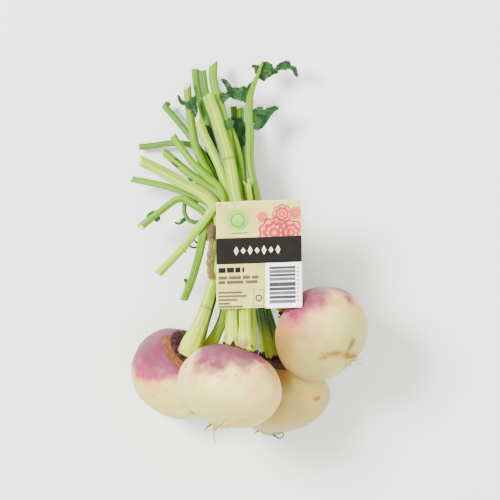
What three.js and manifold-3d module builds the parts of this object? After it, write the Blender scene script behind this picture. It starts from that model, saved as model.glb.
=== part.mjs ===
// A bunch of four turnips, tied by their cut leaf stalks, with a folded card tag under the tie.
// The bunch lies on its side: roots at -Y, cut stalk ends at +Y, +Z up. Millimetres.
// The origin is the middle of the whole bunch in plan, on the surface that it lies on.
import * as THREE from 'three';
import { mergeVertices } from 'three/addons/utils/BufferGeometryUtils.js';
import Module from 'manifold-3d';

const wasm = await Module();
wasm.setup();

const GAP = 0.45;            // air between pieces that touch
const ROOT_SIDES = 28;
const ROOT_RINGS = 24;
const STALK_SIDES = 8;
const LAY_STEP = 1.5;        // sample spacing along a stalk while the stalks are laid
const RING_TURN = 0.3;       // a stalk gets a new ring when it has turned this far, in radians
const RING_STEP = 8;         // or when it has run this far
const STRAND_SIDES = 5;      // rootlets and leaf twigs
const STRAND_STEP = 3;
const TAIL_SIDES = 7;
const TAIL_TIP = 0.9;
const ROOTLET_RADIUS = [0.9, 0.5];
const BLADE = 0.8;           // leaf blade thickness
const UP = new THREE.Vector3(0, 0, 1);
const TO_MIDDLE = [0.4, 1.9, 0];  // brings the middle of the finished bunch over the origin

const COLOURS = {
  root: [0xe6dcc8, 0.5],
  root_tan: [0xd9c590, 0.55],
  stalk_pale: [0xcfdd8c, 0.45],
  stalk: [0xa9cb5a, 0.45],
  stalk_deep: [0x5f9a3c, 0.5],
  leaf: [0x2f6b35, 0.6],
  tie: [0xa08a55, 0.9],
  card: [0xe3d9bc, 0.7],
};

const vec = (p) => new THREE.Vector3(p[0], p[1], p[2]);

// Joins rings of points into one closed surface, with a fan to an apex at each end.
function loft(rings, first, last) {
  const sides = rings[0].length;
  const points = [first, ...rings.flat(), last];
  const index = [];
  const at = (ring, side) => 1 + ring * sides + (side % sides);
  for (let s = 0; s < sides; s++) {
    index.push(0, at(0, s + 1), at(0, s));
    index.push(points.length - 1, at(rings.length - 1, s), at(rings.length - 1, s + 1));
    for (let r = 0; r + 1 < rings.length; r++) {
      index.push(at(r, s), at(r, s + 1), at(r + 1, s + 1));
      index.push(at(r, s), at(r + 1, s + 1), at(r + 1, s));
    }
  }
  return closed(points, index);
}

// A closed geometry from points and triangles, turned to face out.
function closed(points, index) {
  let volume = 0;
  for (let i = 0; i < index.length; i += 3) {
    const [a, b, c] = [points[index[i]], points[index[i + 1]], points[index[i + 2]]];
    volume += a.dot(new THREE.Vector3().crossVectors(b, c));
  }
  if (volume < 0) {
    for (let i = 0; i < index.length; i += 3) {
      [index[i], index[i + 1]] = [index[i + 1], index[i]];
    }
  }
  const geometry = new THREE.BufferGeometry();
  const flat = points.flatMap((p) => [p.x, p.y, p.z]);
  geometry.setAttribute('position', new THREE.Float32BufferAttribute(flat, 3));
  geometry.setIndex(index);
  return geometry;
}

function solid(geometry) {
  const bare = geometry.clone();
  bare.deleteAttribute('normal');
  bare.deleteAttribute('uv');
  const merged = mergeVertices(bare, 1e-4);
  return new wasm.Manifold(new wasm.Mesh({
    numProp: 3,
    vertProperties: new Float32Array(merged.attributes.position.array),
    triVerts: new Uint32Array(merged.index.array),
  }));
}

function geometryOf(manifold) {
  const mesh = manifold.getMesh();
  const geometry = new THREE.BufferGeometry();
  geometry.setAttribute('position', new THREE.BufferAttribute(new Float32Array(mesh.vertProperties), 3));
  geometry.setIndex(new THREE.BufferAttribute(new Uint32Array(mesh.triVerts), 1));
  return geometry;
}

// Two directions square to a run: one level, one as near up as it can be.
function across(direction) {
  const side = new THREE.Vector3().crossVectors(direction, UP);
  if (side.length() < 1e-3) {
    side.set(1, 0, 0);
  }
  side.normalize();
  return [side, new THREE.Vector3().crossVectors(side, direction).normalize()];
}

// A tapering round strand through hand-chosen points, for rootlets and twigs of leaf.
function strand(points, startRadius, endRadius, sides = STRAND_SIDES) {
  const curve = new THREE.CatmullRomCurve3(points.map(vec), false, 'centripetal');
  const steps = Math.max(3, Math.round(curve.getLength() / STRAND_STEP));
  const rings = [];
  for (let i = 0; i <= steps; i++) {
    const t = i / steps;
    const [side, up] = across(curve.getTangentAt(t));
    const radius = THREE.MathUtils.lerp(startRadius, endRadius, t);
    rings.push(circle(curve.getPointAt(t), side, up, radius, radius, sides));
  }
  return loft(rings, curve.getPointAt(0), curve.getPointAt(1));
}

function circle(centre, side, up, wide, high, sides) {
  const ring = [];
  for (let s = 0; s < sides; s++) {
    const angle = 2 * Math.PI * s / sides;
    ring.push(centre.clone()
      .addScaledVector(side, wide * Math.cos(angle))
      .addScaledVector(up, high * Math.sin(angle)));
  }
  return ring;
}

// The roots. The profile runs from the crown over the shoulder and the widest ring to the tail:
// radius as a share of the equator, and height as a share of the half height.
const PROFILE = [
  [0.17, 0.93], [0.3, 0.95], [0.36, 0.89], [0.5, 0.885], [0.72, 0.75], [0.9, 0.47], [0.99, 0.16],
  [1, -0.08], [0.95, -0.36], [0.82, -0.63], [0.62, -0.83], [0.4, -0.955], [0.22, -1.02],
  [0.13, -1.08],
];

const ROOTS = [
  {
    name: 'root_left', colour: 'root', centre: [-53.6, -96.3, 34.4], crown: [0.53, 0.69, 0.49],
    equator: 35.9, half: 29.4, lobe: 0.4, tailRadius: 2.8,
    tail: [[0, 0, 0], [-1, -3, -0.5], [1, -7, 0.5]],
    rootlets: [[[-38, -123, 27], [-35.5, -128, 25.5], [-34, -131.5, 25], [-31.5, -131.8, 26.5]]],
  },
  {
    name: 'root_front', colour: 'root', centre: [-13.6, -102.4, 97.2], crown: [0.27, 0.92, -0.28],
    equator: 38.1, half: 28.3, lobe: 1.3, tailRadius: 3.3,
    tail: [[0, 0, 0], [-2.2, -3.4, 0.4], [-3, -6.6, 0.2]],
    rootlets: [[[-25.5, -133, 105], [-25, -137.5, 105], [-24.5, -142.5, 104.5]]],
  },
  {
    name: 'root_back', colour: 'root_tan', centre: [18.4, -110.8, 35.6], crown: [0.12, 0.99, 0.02],
    equator: 36.4, half: 28.6, sway: [7.4, 0, 0], lobe: 2.2, tailRadius: 3.6,
    tail: [[0, 0, 0], [1, -2, 0.6], [0.5, -3.4, 1.4]],
    rootlets: [
      [[24, -134, 36], [26.5, -139, 36], [24.5, -141, 36.5], [21.5, -142.5, 37], [19, -143.8, 36.6]],
      [[10.5, -131, 40], [8, -134.5, 41], [5.2, -137.4, 41.6]],
    ],
  },
  {
    name: 'root_right', colour: 'root', centre: [54.3, -64.4, 77.2], crown: [-0.71, 0.56, -0.43],
    equator: 36.9, half: 29.4, lobe: 3.1, tailRadius: 3.2,
    tail: [[0, 0, 0], [2.2, -1.6, 0.8], [4.2, -3.2, 0.4]],
    rootlets: [
      [[76, -82, 90.5], [79.5, -83.5, 91], [82.8, -82.6, 90.6]],
      [[76, -83, 90], [79.5, -85.6, 89.6], [82, -86.4, 89]],
    ],
  },
];

function frameOf(root) {
  const axis = vec(root.crown).normalize();
  const east = new THREE.Vector3().crossVectors(axis, UP).normalize();
  return [axis, east, new THREE.Vector3().crossVectors(east, axis)];
}

// One root, or with grow above 0 the room that must stay free round it.
function rootBody(root, grow) {
  const [axis, east, north] = frameOf(root);
  const curve = new THREE.SplineCurve(PROFILE.map((p) => new THREE.Vector2(p[0], p[1])));
  const centre = vec(root.centre);
  const sway = vec(root.sway || [0, 0, 0]);
  const rings = [];
  for (let i = 0; i <= ROOT_RINGS; i++) {
    const p = curve.getPointAt(i / ROOT_RINGS);
    const bulge = Math.max(0, 1 - p.y * p.y);
    const ring = [];
    for (let s = 0; s < ROOT_SIDES; s++) {
      const angle = 2 * Math.PI * s / ROOT_SIDES;
      const lobes = 1 + 0.014 * Math.cos(3 * angle + root.lobe) + 0.01 * Math.cos(2 * angle - root.lobe);
      const reach = p.x * root.equator * lobes + grow;
      const height = p.y * root.half + Math.sign(p.y) * grow;
      ring.push(centre.clone()
        .addScaledVector(sway, bulge)
        .addScaledVector(axis, height)
        .addScaledVector(east, reach * Math.cos(angle))
        .addScaledVector(north, reach * Math.sin(angle)));
    }
    rings.push(ring);
  }
  const top = centre.clone().addScaledVector(axis, 0.9 * root.half + grow);
  const foot = centre.clone().addScaledVector(axis, -1.1 * root.half);
  return loft(rings, top, foot);
}

// The taproot's stub leaves the foot of the root and bends as it did in the ground.
function tailOf(root) {
  const [axis] = frameOf(root);
  const foot = vec(root.centre).addScaledVector(axis, -0.98 * root.half);
  const inside = foot.clone().addScaledVector(axis, 4);
  const points = [inside.toArray(), ...root.tail.map((p) => vec(p).add(foot).toArray())];
  return strand(points, root.tailRadius, TAIL_TIP, TAIL_SIDES);
}

function makeRoot(root) {
  let body = solid(rootBody(root, 0)).add(solid(tailOf(root)));
  for (const rootlet of root.rootlets) {
    body = body.add(solid(strand(rootlet, ...ROOTLET_RADIUS)));
  }
  const ground = new THREE.BoxGeometry(400, 400, 100);
  ground.translate(0, 0, -50);
  return geometryOf(body.subtract(solid(ground)));
}

// The stalks, from the crown that each grows from, through the tie, to its cut end.
// They are listed as they lie, the backmost first. radius holds crown, middle and cut end.
const STALKS = [
  {
    name: 'stalk_back_1', colour: 'stalk_deep', radius: [3.2, 2.6, 2.4],
    path: [[16.5, -83.5, 29], [10.5, -56, 32], [3, -25.5, 39], [-6, 4.5, 44.5], [-7.5, 35, 37],
      [-8.5, 73, 24], [-11, 107, 14]],
  },
  {
    name: 'stalk_back_2', colour: 'stalk_deep', radius: [3.2, 2.7, 2.6],
    path: [[21.5, -83.5, 29], [14, -56, 33], [7, -25.5, 40], [0, 4.5, 46], [-2.5, 35, 39],
      [-4.5, 70.5, 27], [-6, 105.5, 17]],
  },
  {
    name: 'stalk_back_3', colour: 'stalk_deep', radius: [3.2, 2.9, 2.9],
    path: [[14.5, -82.5, 36], [9, -56, 38], [0, -25.5, 42], [-12, 4.5, 46], [-17, 38, 37],
      [-23.5, 65.5, 27], [-30.5, 91, 18], [-36.5, 111, 11], [-39.5, 124.5, 6.5], [-40.5, 136, 3.2]],
  },
  {
    name: 'stalk_back_4', colour: 'stalk_deep', radius: [2.8, 2.3, 2.3],
    path: [[20, -83.5, 35.5], [12.5, -56, 38.5], [-2, -25.5, 45], [-17.5, 4.5, 48.5], [-23, 35, 40],
      [-28, 57.5, 32], [-34.5, 70.5, 27], [-44, 77, 22], [-59, 78.5, 16], [-72, 77, 11], [-83.5, 76, 8]],
  },
  {
    name: 'stalk_back_5', colour: 'stalk_deep', radius: [2.8, 2.4, 2.4],
    path: [[24.5, -84.5, 35], [17, -55.5, 39], [6, -25.5, 46], [-9, 4.5, 51], [-17.5, 34.5, 44],
      [-30, 61.5, 34], [-42, 80.5, 26], [-53.5, 95, 19], [-64.5, 108, 13]],
  },
  {
    name: 'stalk_back_6', colour: 'stalk_deep', radius: [3.4, 2.6, 2.4],
    path: [[17.5, -83.5, 43], [11.5, -55.5, 45.5], [5, -25.5, 50], [-3, 4.5, 50.5], [-10.5, 42, 42],
      [-20, 80.5, 33], [-29, 105, 25], [-32.5, 119.5, 21], [-34.5, 134, 17]],
  },
  {
    name: 'stalk_left_1', colour: 'stalk', radius: [3, 2.5, 2.4],
    path: [[-40.5, -73, 44.6], [-31, -44, 49], [-25, -18, 51], [-22.5, 4.5, 51], [-24.5, 22, 46],
      [-31, 32.5, 41], [-41, 37, 38], [-49.5, 41, 35], [-63, 45.5, 31], [-76, 48.5, 28], [-88.5, 51, 25]],
  },
  {
    name: 'stalk_left_2', colour: 'stalk_deep', radius: [2.4, 2.2, 1.6],
    path: [[-37, -76, 48.6], [-27, -44, 54], [-19.5, -18, 54], [-17, 2, 53], [-20, 13, 52], [-27, 18.5, 48],
      [-34, 18.5, 45], [-40.5, 18, 42], [-45.5, 20.5, 40], [-48, 26, 38.5], [-47.5, 32, 37], [-44, 37, 36]],
  },
  {
    name: 'stalk_right_1', colour: 'stalk', radius: [3.4, 3, 3],
    path: [[33.5, -50.5, 57.5], [19, -40.5, 54], [2.5, -18, 56], [-11.5, 4.5, 56], [-19.5, 34.5, 48],
      [-28, 51.5, 41], [-34, 62, 37], [-39.5, 75, 32], [-43, 93, 26], [-45, 106, 22], [-46.5, 121.5, 18]],
  },
  {
    name: 'stalk_left_3', colour: 'stalk', radius: [4.6, 3.2, 3],
    path: [[-34, -81, 49.6], [-25.5, -69, 55], [-18, -50, 58], [-17.5, -25.5, 59], [-19.5, 4.5, 58],
      [-18, 29, 52], [-21.5, 38.5, 48], [-32, 46.5, 43], [-44.5, 55, 39], [-55, 64, 35], [-64, 71.5, 31]],
  },
  {
    name: 'stalk_left_4', colour: 'stalk', radius: [3.2, 2.6, 2.6],
    path: [[-39.5, -79, 53.6], [-32, -48, 58], [-27, -21.5, 59], [-26, 4.5, 57], [-28, 17, 56],
      [-33, 25, 54], [-40.5, 30.5, 51], [-51, 35.5, 48], [-67, 25.5, 44], [-81, 14.5, 41]],
  },
  {
    name: 'stalk_right_2', colour: 'stalk', radius: [2.6, 2.1, 2],
    path: [[32.5, -48.5, 63], [11, -26, 59], [-5.5, 4.5, 55], [-4, 36, 50], [-5, 57, 45], [-8, 75, 41],
      [-13, 89, 37], [-15, 94, 35.5]],
  },
  {
    name: 'stalk_front_1', colour: 'stalk', radius: [3.6, 3.1, 3.2],
    path: [[1, -79, 86.6], [2.5, -54.5, 80], [0, -25, 70], [-1.5, 4.5, 58.5], [-6.5, 34.5, 51],
      [-11.5, 61, 44], [-14, 76, 40], [-18, 97, 35], [-22, 110, 32], [-26.5, 126, 27], [-26.5, 139, 23]],
  },
  {
    name: 'stalk_front_2', colour: 'stalk_pale', radius: [3.6, 3.2, 3.2],
    path: [[-4.5, -77, 86.6], [-4.5, -51, 80], [-6.5, -21.5, 71], [-8.5, 4.5, 62], [-14.5, 34.5, 55],
      [-20.5, 57, 48], [-28.5, 74.5, 44], [-34, 86, 41], [-38, 96, 39]],
  },
  {
    name: 'stalk_front_3', colour: 'stalk', radius: [3.2, 2.6, 2.6],
    path: [[-14, -75, 90.6], [-13.5, -51, 83], [-14.5, -21.5, 73], [-15, 4.5, 62.5], [-17, 28.5, 57],
      [-21, 43, 53], [-32, 53, 49], [-40.5, 61.5, 46], [-49.5, 73, 42], [-57, 83.5, 38]],
  },
  {
    name: 'stalk_right_3', colour: 'stalk', radius: [3.6, 3, 1.1], taper: [0.8, 1],
    path: [[35.5, -45.5, 62.5], [22.5, -25.5, 58], [7, 4.5, 53.5], [6.5, 37.5, 47], [3, 53, 44],
      [1.2, 66.5, 42], [1.4, 83.5, 39], [0.8, 105, 36], [1.2, 112, 35], [3.8, 121, 33.5],
      [7.5, 130, 32], [10.5, 138.5, 31]],
  },
  {
    name: 'stalk_right_4', colour: 'stalk_pale', radius: [3, 2.6, 2.6],
    path: [[33, -45.5, 69.5], [18.5, -21.5, 66], [4.5, 4.5, 59.5], [0.5, 36.5, 54], [-0.5, 45.5, 52]],
  },
  {
    name: 'stalk_left_5', colour: 'stalk', radius: [3.2, 2.9, 2.9],
    path: [[-42, -74.5, 58], [-33, -47.5, 64], [-26.5, -21.5, 65], [-24.5, 1, 62.5], [-24, 14, 62.5],
      [-25.5, 20, 65.5], [-29.5, 20.5, 70.5], [-32, 13, 73], [-34.1, 5, 72.8], [-36, -4.5, 67],
      [-42.5, -26, 52], [-48.5, -40.5, 44]],
  },
  {
    name: 'stalk_left_6', colour: 'stalk_pale', radius: [6.4, 4.2, 4],
    path: [[-44.8, -80, 58.5], [-34, -53.5, 63], [-27.5, -32.5, 65], [-23, -14, 67], [-20.8, 4.5, 68],
      [-21.5, 19, 66], [-24.5, 29, 63], [-28, 34, 61], [-36, 40.3, 57], [-49, 47, 52], [-67, 57.5, 44],
      [-81.5, 64.5, 38]],
  },
  {
    name: 'stalk_front_4', colour: 'stalk_pale', radius: [3.6, 3, 2.9],
    path: [[-10.5, -76, 94.6], [-11.5, -50.5, 86], [-13, -21.5, 76], [-12.5, 1, 69.5], [-12.5, 14, 68],
      [-15.5, 24, 71], [-20, 29, 74.5], [-25.5, 28, 75], [-30.5, 21.5, 73], [-38.5, 11, 69], [-50, -3, 62],
      [-67.5, -21, 54]],
  },
  {
    name: 'stalk_front_5', colour: 'stalk_pale', radius: [4.6, 4.2, 4.2],
    path: [[-2, -78, 95.6], [-2.5, -50.5, 87], [-3.5, -21.5, 77], [-3.9, 4.5, 69.5], [-4.3, 18, 66],
      [-9.5, 35.5, 61],
      [-14, 61.5, 54], [-17, 74.5, 50], [-21.5, 88.5, 46], [-25.5, 100.5, 42], [-30.5, 114, 38]],
  },
];

// Lays each stalk on the surface and on the stalks before it, as it would come to rest:
// its plan stays as listed, and its height is the listed one, raised where something is under it.
const STIFFNESS = 700;       // rounds of straightening between the points that hold a stalk up
const PULL = 0.02;           // how strongly a stalk keeps its listed height

function sampleStalk(stalk) {
  const curve = new THREE.CatmullRomCurve3(stalk.path.map(vec), false, 'centripetal');
  const steps = Math.round(curve.getLength() / LAY_STEP);
  const samples = [];
  for (let i = 0; i <= steps; i++) {
    const t = i / steps;
    const p = curve.getPointAt(t);
    samples.push({ x: p.x, y: p.y, z: p.z, radius: radiusAt(stalk, t) });
  }
  return samples;
}

function radiusAt(stalk, t) {
  const [crown, middle, tip] = stalk.radius;
  const [from, to] = stalk.taper || [0.4, 0.9];
  const low = THREE.MathUtils.smoothstep(t, 0, 0.25);
  const high = THREE.MathUtils.smoothstep(t, from, to);
  return crown + (middle - crown) * low + (tip - middle) * high;
}

function layStalks(stalks) {
  const laid = [];
  return stalks.map((stalk) => {
    const samples = sampleStalk(stalk);
    const need = samples.map((p) => {
      let height = p.radius;
      for (const q of laid) {
        const reach = p.radius + q.radius + GAP;
        const plan = (p.x - q.x) ** 2 + (p.y - q.y) ** 2;
        if (plan < reach * reach) {
          height = Math.max(height, q.z + Math.sqrt(reach * reach - plan));
        }
      }
      return height;
    });
    let z = samples.map((p, i) => Math.max(p.z, need[i]));
    const last = z.length - 1;
    for (let round = 0; round < STIFFNESS; round++) {
      z = z.map((value, i) => {
        const before = i === 0 ? value : z[i - 1];
        const after = i === last ? 2 * value - z[last - 1] : z[i + 1];
        const straight = (before + after) / 2;
        return i === 0 ? value : Math.max(need[i], straight + (samples[i].z - straight) * PULL);
      });
    }
    samples.forEach((p, i) => {
      p.z = z[i];
    });
    laid.push(...samples);
    return samples;
  });
}

const laidStalks = layStalks(STALKS);

// Keeps the samples where the stalk has turned or run far enough for a ring.
function ringSamples(samples) {
  const points = samples.map((p) => new THREE.Vector3(p.x, p.y, p.z));
  const kept = [0];
  let held = points[1].clone().sub(points[0]).normalize();
  for (let i = 1; i < points.length - 1; i++) {
    const run = points[i + 1].clone().sub(points[i - 1]).normalize();
    const far = points[i].distanceTo(points[kept.at(-1)]);
    if (far > RING_STEP || run.angleTo(held) > RING_TURN) {
      kept.push(i);
      held = run;
    }
  }
  kept.push(points.length - 1);
  return kept.map((i) => {
    const before = points[Math.max(i - 1, 0)];
    const after = points[Math.min(i + 1, points.length - 1)];
    return { point: points[i], run: after.clone().sub(before).normalize(), radius: samples[i].radius };
  });
}

function stalkBody(samples, grow) {
  const rings = ringSamples(samples).map((ring) => {
    const [side, up] = across(ring.run);
    return circle(ring.point, side, up, ring.radius + grow, ring.radius + grow, STALK_SIDES);
  });
  const centreOf = (ring) => {
    const sum = ring.reduce((total, p) => total.add(p), new THREE.Vector3());
    return sum.divideScalar(ring.length);
  };
  return loft(rings, centreOf(rings[0]), centreOf(rings.at(-1)));
}

// Bits of leaf left on the stalks, in plan, each sunk into the stalk named first.
const SCRAPS = [
  ['stalk_back_5', 0.5, [[-64, 109], [-62.5, 110.5], [-60, 110], [-59, 108], [-60.5, 107], [-62.5, 106.5]]],
  ['stalk_left_3', 2.6, [[-58, 63.5], [-55, 66.5], [-51.5, 64], [-51.5, 61], [-53, 59], [-56, 61]]],
  ['stalk_left_3', 0, [[-46, 53], [-43.5, 52.5], [-40.5, 50], [-42.5, 48.5], [-45, 50]]],
  ['stalk_left_3', 0, [[-41.5, 45.5], [-39, 48.5], [-36, 46.5], [-35.5, 43], [-37.5, 42.5], [-40, 43.5]]],
  ['stalk_left_4', 0, [[-44.5, 34.5], [-41, 35], [-37.5, 33.5], [-38, 28.5], [-41, 30], [-43, 32]]],
  ['stalk_left_4', 0.6, [[-77, 20.5], [-75.5, 24.5], [-72, 26.5], [-69, 26.5], [-71, 23], [-74, 20.5]]],
  ['stalk_left_4', -0.6, [[-70.5, 19.5], [-68.5, 22.5], [-66, 22], [-66.5, 19.5], [-69, 18]]],
  ['stalk_left_2', 0, [[-55.5, 18], [-54.5, 18.5], [-52, 17.5], [-50.5, 20.5], [-46.5, 22.5], [-46.5, 19.5],
    [-49.5, 17], [-52, 16], [-54.5, 16.5]]],
  ['stalk_front_4', 0, [[-54, -4], [-51.5, -1.5], [-48, -1], [-46, 0.5], [-47, -2], [-46, -5], [-48, -4],
    [-50.5, -6]]],
  ['stalk_left_5', 0, [[-48.5, -25], [-47, -24], [-44.5, -25.5], [-44, -30], [-46.5, -33], [-47.5, -32],
    [-47, -28]]],
];

// Thin twigs and dried curls, as strands: host, start and end radius, points.
const TWIGS = [
  ['stalk_right_4', 1, 0.7, [[0, 43, 52.5], [-2, 46.5, 53.5], [-3.5, 48.5, 54]]],
  ['stalk_right_4', 1, 0.7, [[-0.5, 43, 52.5], [0.3, 47.5, 54], [2, 50.5, 55]]],
  ['stalk_right_3', 1.2, 0.9, [[1.2, 109.5, 35.5], [4.5, 110.2, 36]]],
  ['stalk_left_5', 0.8, 0.5, [[-35.5, 1, 66], [-39, -1, 63], [-42.5, -0.6, 60.5], [-44.8, 1.7, 59]]],
  ['stalk_left_5', 0.8, 0.5, [[-34, 3.5, 67], [-37, 1.8, 64], [-39, 3.2, 62.5], [-40.3, 5.6, 62]]],
];

// The leaves: the host stalk, the lift over it, how far the blade curls up with distance, its ripple,
// and its lobed outlines.
const LEAVES = [
  {
    name: 'leaf_left', host: 'stalk_right_3', lift: 0.6, curl: 0.06, ripple: 0.9,
    outlines: [
      [[-20.5, 126], [-17.5, 126.5], [-14.5, 123.5], [-12, 119.5], [-8.5, 120], [-6.3, 119.2], [-3.7, 121.3],
        [-1.3, 119.8], [1.5, 123.5], [5.4, 125.5], [4, 118.5], [2.2, 114], [0.4, 107], [-3.3, 109],
        [-7.6, 110.5], [-12, 111.7], [-14.6, 112.8], [-16.7, 114], [-15.6, 117], [-16.7, 120], [-18.6, 123]],
      [[-20.7, 116.3], [-18, 115.5], [-14, 115.5], [-14, 112.5], [-17, 110], [-18.7, 107.4], [-20.3, 110],
        [-21.8, 112.8]],
    ],
  },
  {
    name: 'leaf_right', host: 'stalk_right_3', lift: -0.4, curl: 0.04, ripple: 0.9,
    outlines: [
      [[0.6, 100.5], [3, 102.5], [6, 104.3], [8.1, 105.4], [11, 105.1], [11.4, 101.8], [14.1, 104.2],
        [17.1, 104.8], [20, 106.2], [23.6, 104.1], [19.7, 101.8], [16.4, 97.5], [13.8, 93.1], [10.2, 88.8],
        [7.6, 87.8], [4.6, 88.4], [5, 92.3], [3.6, 96]],
    ],
  },
  {
    name: 'leaf_top', host: 'stalk_right_3', lift: -2.7, curl: 0.05, ripple: 0.8,
    outlines: [
      [[2.5, 136.3], [4.1, 137.8], [6.7, 137.3], [8.6, 136.8], [11.1, 139.6], [14.5, 140], [18.5, 137.4],
        [19.1, 134.6], [21.9, 135.4], [21.3, 136.5], [23.7, 138.7], [28.4, 140.4], [31.5, 140.1],
        [32.2, 137.2], [34.4, 136.4], [36.3, 135.6], [37.1, 131.7], [38, 129.6], [36.7, 128.1],
        [35.2, 129.8], [34, 132.8], [31.6, 134.4], [29.8, 134.6], [28.3, 133.3], [25.8, 134.1],
        [22.8, 133.2], [22.5, 131.3], [18.9, 130.3], [16.5, 128.3], [14.4, 127.7], [12.1, 125],
        [9.3, 126.3], [6.7, 129.1], [5, 131.7], [5.2, 134.5]],
    ],
  },
  {
    name: 'leaf_back', host: 'stalk_back_2', lift: 4.2, curl: 0.01, ripple: 0.5,
    outlines: [
      [[-14.6, 96.4], [-12, 98.4], [-10.5, 94.6], [-8, 96.2], [-6.4, 93.2], [-2.9, 94.5], [-1.6, 89],
        [-2.4, 84.2], [-1.6, 80], [-2.7, 76.4], [-5.5, 75.5], [-6.9, 79.6], [-9.4, 82], [-9.6, 86.2],
        [-12.9, 89.5], [-13, 93]],
    ],
  },
  {
    name: 'leaf_middle', host: 'stalk_front_1', lift: 4.3, curl: 0.02, ripple: 0.4,
    outlines: [
      [[-18.5, 92.2], [-17, 94.6], [-15.6, 94.2], [-14, 96.2], [-12, 95], [-10.4, 93.2], [-11.6, 91],
        [-10.8, 88.5], [-13.4, 88.9], [-14.6, 87.4], [-16.6, 88.5], [-18, 90]],
    ],
  },
  {
    name: 'leaf_upper', host: 'stalk_right_1', lift: 4.2, curl: 0.02, ripple: 0.7,
    outlines: [
      [[-53.9, 114.7], [-52.4, 114.5], [-50.6, 111.2], [-47.2, 109.1], [-44.6, 109.9], [-42.4, 113.4],
        [-40, 114.3], [-39.2, 108.2], [-38.2, 104], [-38.6, 101.3], [-40, 97.3], [-41.9, 99.5],
        [-43.2, 102], [-42.8, 104.6], [-46.3, 104.2], [-48, 107], [-50.8, 107.6], [-52.6, 110]],
    ],
  },
];

function hostSample(host, x, y) {
  const samples = laidStalks[STALKS.findIndex((stalk) => stalk.name === host)];
  const away = (p) => (p.x - x) ** 2 + (p.y - y) ** 2;
  return samples.reduce((best, p) => (away(p) < away(best) ? p : best));
}

// A thin blade over an outline in plan. Both faces carry the same triangles.
function blade(outline, heightAt) {
  const contour = outline.map((p) => new THREE.Vector2(p[0], p[1]));
  if (THREE.ShapeUtils.isClockWise(contour)) {
    contour.reverse();
  }
  const faces = THREE.ShapeUtils.triangulateShape(contour, []);
  const count = contour.length;
  const face = (offset) => contour.map((p) => new THREE.Vector3(p.x, p.y, heightAt(p) + offset));
  const points = [...face(BLADE / 2), ...face(-BLADE / 2)];
  const index = faces.flatMap(([a, b, c]) => [a, b, c, count + c, count + b, count + a]);
  for (let i = 0; i < count; i++) {
    const next = (i + 1) % count;
    index.push(i, count + i, count + next, i, count + next, next);
  }
  return closed(points, index);
}

function leafBody(leaf) {
  const heightAt = (p) => {
    const held = hostSample(leaf.host, p.x, p.y);
    const far = Math.hypot(p.x - held.x, p.y - held.y);
    const wave = leaf.ripple * Math.sin(0.9 * p.x + 0.7 * p.y) * Math.min(1, far / 6);
    return held.z + leaf.lift + leaf.curl * far + wave;
  };
  return leaf.outlines.map((outline) => solid(blade(outline, heightAt))).reduce((a, b) => a.add(b));
}

// The tie: three turns of raffia drawn tight round the stalks and the tag's tongue, a knot at
// the upper left, and its two twisted ends lying down along the stalks.
const TIE_Y = 8;
const TIE_DIRECTIONS = 28;
const TIE_REACH = 7;         // the stretch of stalks, each way along Y, that the turns hold
const TIE_PROFILE = [
  [0, 4], [0, -4], [1.4, -4], [2.2, -2.8], [1.6, -1.5], [2.4, 0], [1.6, 1.5], [2.2, 2.8], [1.4, 4],
];
const KNOT = { centre: [-27, 10.5, 77.2], size: [2.7, 5.2, 3.2] };
const TIE_END = {
  path: [[-26.8, 12, 77], [-27, 4, 77.5], [-27.2, -1.5, 77.4], [-28, -10, 76.6], [-28, -17, 77],
    [-27.5, -23.5, 78.8]],
  wide: 2.3, thin: 1.5, turn: 0.32,
};

// The card tag: its front, and behind it a narrow tongue folded down from the top edge, under the tie.
const TAG = {
  width: 63.8, height: 79.2, thick: 0.6,
  centre: [8, -5.9], level: 89.2, over: [-7.6, 4.5], rise: [0.205, -0.145], slew: 0.035,
  tongueWidth: 14, tongueAt: -9.5, tongueLength: 30, tongueThick: 0.5, tongueSplay: 0.31,
};

function tagMatrix() {
  const [riseX, riseY] = TAG.rise;
  const right = new THREE.Vector3(1, 0, riseX).normalize();
  const normal = new THREE.Vector3(-riseX, -riseY, 1).normalize();
  const [x, y] = TAG.centre;
  const z = TAG.level + riseX * (x - TAG.over[0]) + riseY * (y - TAG.over[1]);
  right.applyAxisAngle(normal, TAG.slew);
  const upward = new THREE.Vector3().crossVectors(normal, right);
  const turn = new THREE.Matrix4().makeBasis(right, upward, normal);
  return turn.setPosition(x, y, z);
}

function tongueProfile() {
  const top = TAG.height / 2;
  const drop = TAG.tongueLength * TAG.tongueSplay;
  const end = top - TAG.tongueLength;
  const half = TAG.thick / 2;
  return [
    [top, half], [top + 0.4, -0.1], [top - 0.2, -TAG.tongueThick - half],
    [end, -drop - TAG.tongueThick - half], [end, -drop - half], [top - 1.2, -half + 0.02], [top - 1.2, 0],
  ];
}

function tagBody() {
  const front = new THREE.BoxGeometry(TAG.width, TAG.height, TAG.thick);
  const shape = new THREE.Shape(tongueProfile().map((p) => new THREE.Vector2(p[0], p[1])));
  const tongue = new THREE.ExtrudeGeometry(shape, { depth: TAG.tongueWidth, bevelEnabled: false });
  // The profile's axes are the tag's height and its normal, and it is extruded across the tag.
  tongue.applyMatrix4(new THREE.Matrix4().makeBasis(
    new THREE.Vector3(0, 1, 0), new THREE.Vector3(0, 0, 1), new THREE.Vector3(1, 0, 0)));
  tongue.translate(TAG.tongueAt - TAG.tongueWidth / 2, 0, 0);
  return geometryOf(solid(front).add(solid(tongue)));
}

// Points on the tongue's upper face, which the tie's turns press on.
function tonguePoints() {
  const matrix = tagMatrix();
  const points = [];
  for (let down = 0; down <= TAG.tongueLength; down += 1) {
    for (const side of [-0.5, 0.5]) {
      const local = new THREE.Vector3(
        TAG.tongueAt + side * TAG.tongueWidth,
        TAG.height / 2 - down,
        -TAG.thick / 2 - down * TAG.tongueSplay);
      const p = local.applyMatrix4(matrix);
      points.push({ x: p.x, y: p.y, z: p.z, radius: 0 });
    }
  }
  return points;
}

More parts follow.
